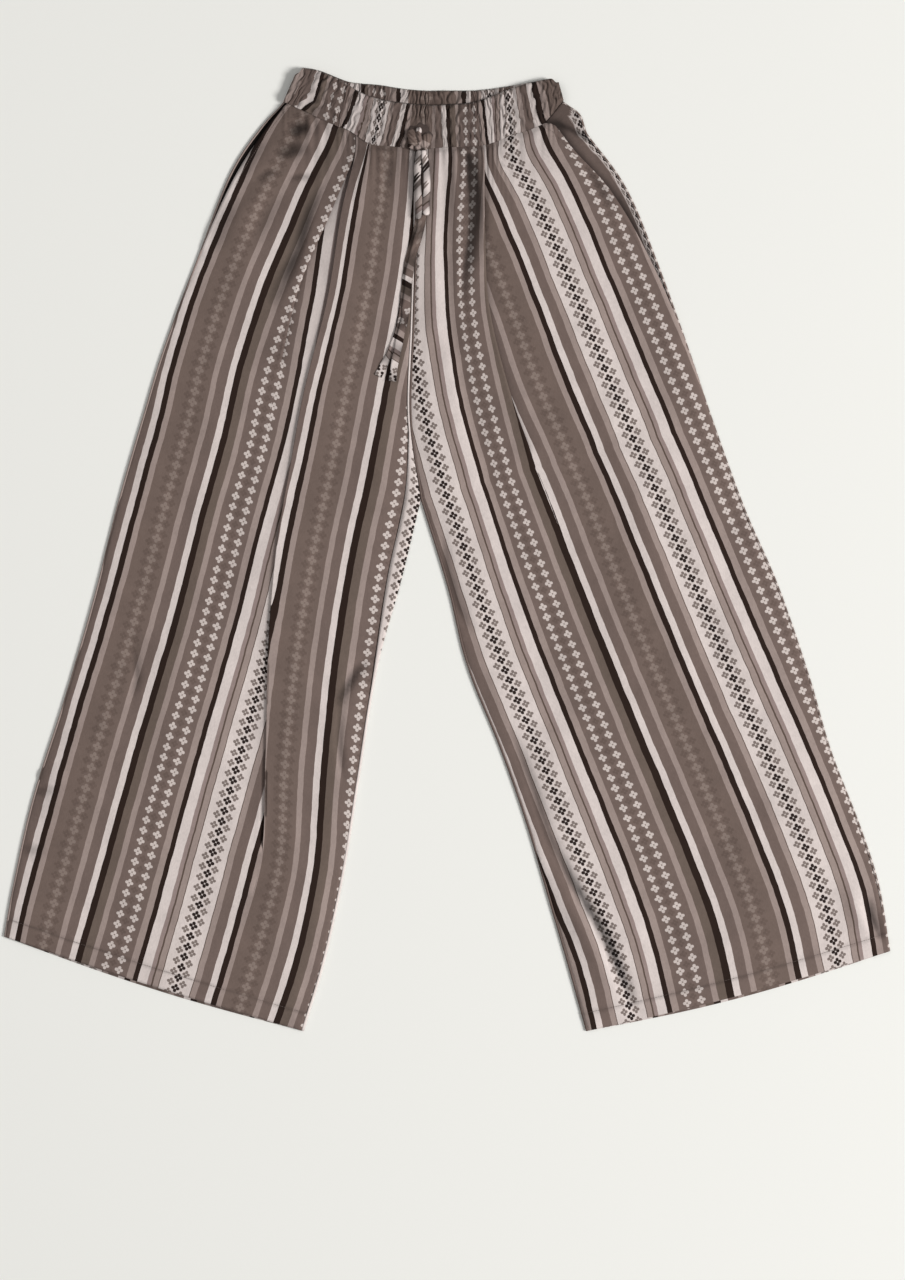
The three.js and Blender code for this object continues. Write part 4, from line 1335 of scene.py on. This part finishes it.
def sew(name, lines, lift):
    """Rows of stitches along lines of points in mm, lifted off the cloth."""
    corners, edges = [], []
    for line in lines:
        first = len(corners)
        corners += ((line + [0, 0, lift]) * MM).tolist()
        edges += [(first + k, first + k + 1) for k in range(len(line) - 1)]
    mesh = bpy.data.meshes.new(name)
    mesh.from_pydata(corners, edges, [])
    piece = put(name, mesh)
    rows = piece.modifiers.new("Stitches", "NODES")
    rows.node_group = STITCHES
    for socket in STITCHES.interface.items_tree:
        if socket.in_out == "INPUT" and socket.name == "Thread":
            rows[socket.identifier] = THREAD
    bpy.context.view_layer.update()
    piece.data = bpy.data.meshes.new_from_object(
        piece.evaluated_get(bpy.context.evaluated_depsgraph_get()))
    piece.modifiers.remove(rows)
    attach(piece, "root")
    print(name, len(piece.data.polygons), "faces")
    return piece


SEWN = {name: sew(name, lines, STITCH_LIFT if "front" in name else -STITCH_LIFT)
        for name, lines in STITCH_LINES.items()}

# %% [markdown]
# ## What was cut
#
# Each panel is one sheet, listed with the size it was cut to before it was sewn, pleated or
# gathered. The areas are those of the cut, not of what shows.

# %% Sheets
def cloth_area(piece):
    """The area of one side of a piece of cloth, in square metres."""
    shape = piece.evaluated_get(bpy.context.evaluated_depsgraph_get()).to_mesh()
    return sum(face.area for face in shape.polygons) / 2


SHEETS = {  # width and length of the cut, its area, how it is held and what it rests on
    "right_front_cloth": ((0.38, 1.03), 0.35, "laid", "back_right_leg"),
    "left_front_cloth": ((0.38, 1.03), 0.35, "laid", "back_left_leg"),
    "right_back_cloth": ((0.38, 1.05), 0.35, "laid", None),
    "left_back_cloth": ((0.38, 1.05), 0.35, "laid", None),
    "right_pocket_facing": ((0.028, 0.134), None, "laid", "back_right_leg"),
    "left_pocket_facing": ((0.037, 0.239), None, "laid", "back_left_leg"),
    "front_waistband": ((0.44, 0.05), None, "gathered", "waistband_back"),
    "back_waistband": ((0.44, 0.05), None, "gathered", None),
}
for name, (flat, area, held, under) in SHEETS.items():
    piece = bpy.data.objects[name]
    print(name, round(cloth_area(piece), 4), "square metres laid,",
          round(area or flat[0] * flat[1], 4), "cut")

# %% [markdown]
# ## Surface and light
#
# The trousers lie on a plain pale surface under soft light. Two large lamps stand in for a
# bright room: one from the lower right, which draws the creases, and a weaker one from the
# left, which keeps the shadows open.

# %% Floor, lamps and world
FLOOR_HALF = 4.0  # in metres, as all below
LAMP_COLOUR, ROOM_COLOUR, ROOM_LIGHT = (1.0, 0.97, 0.955), (1.0, 0.985, 0.98, 1), 0.26
LAMPS = {  # place, size and power
    "key": ((6.9, -1.4, 4.95), 2.6, 800),
    "fill": ((-2.2, 0.6, 3.0), 2.5, 24),
}

floor_mesh = bpy.data.meshes.new("floor")
floor_mesh.from_pydata([(x * FLOOR_HALF, y * FLOOR_HALF, 0) for x, y in
                        ((-1, -1), (1, -1), (1, 1), (-1, 1))], [], [(0, 1, 2, 3)])
floor_mesh.materials.append(
    paint("Pale surface", Base_Color=colour(238, 240, 236), Roughness=0.9)[0])
put("floor", floor_mesh)

# Both lamps are square and face the middle of the cloth.
for name, (place, size, power) in LAMPS.items():
    lamp = put(name, bpy.data.lights.new(name, "AREA"))
    lamp.data.size, lamp.data.energy, lamp.data.color = size, power, LAMP_COLOUR
    lamp.location = place
    lamp.rotation_euler = Vector(place).to_track_quat("Z", "Y").to_euler()
world = bpy.data.worlds.new("room")
world.use_nodes = True
background = world.node_tree.nodes["Background"].inputs
background[0].default_value, background[1].default_value = ROOM_COLOUR, ROOM_LIGHT
bpy.context.scene.world = world
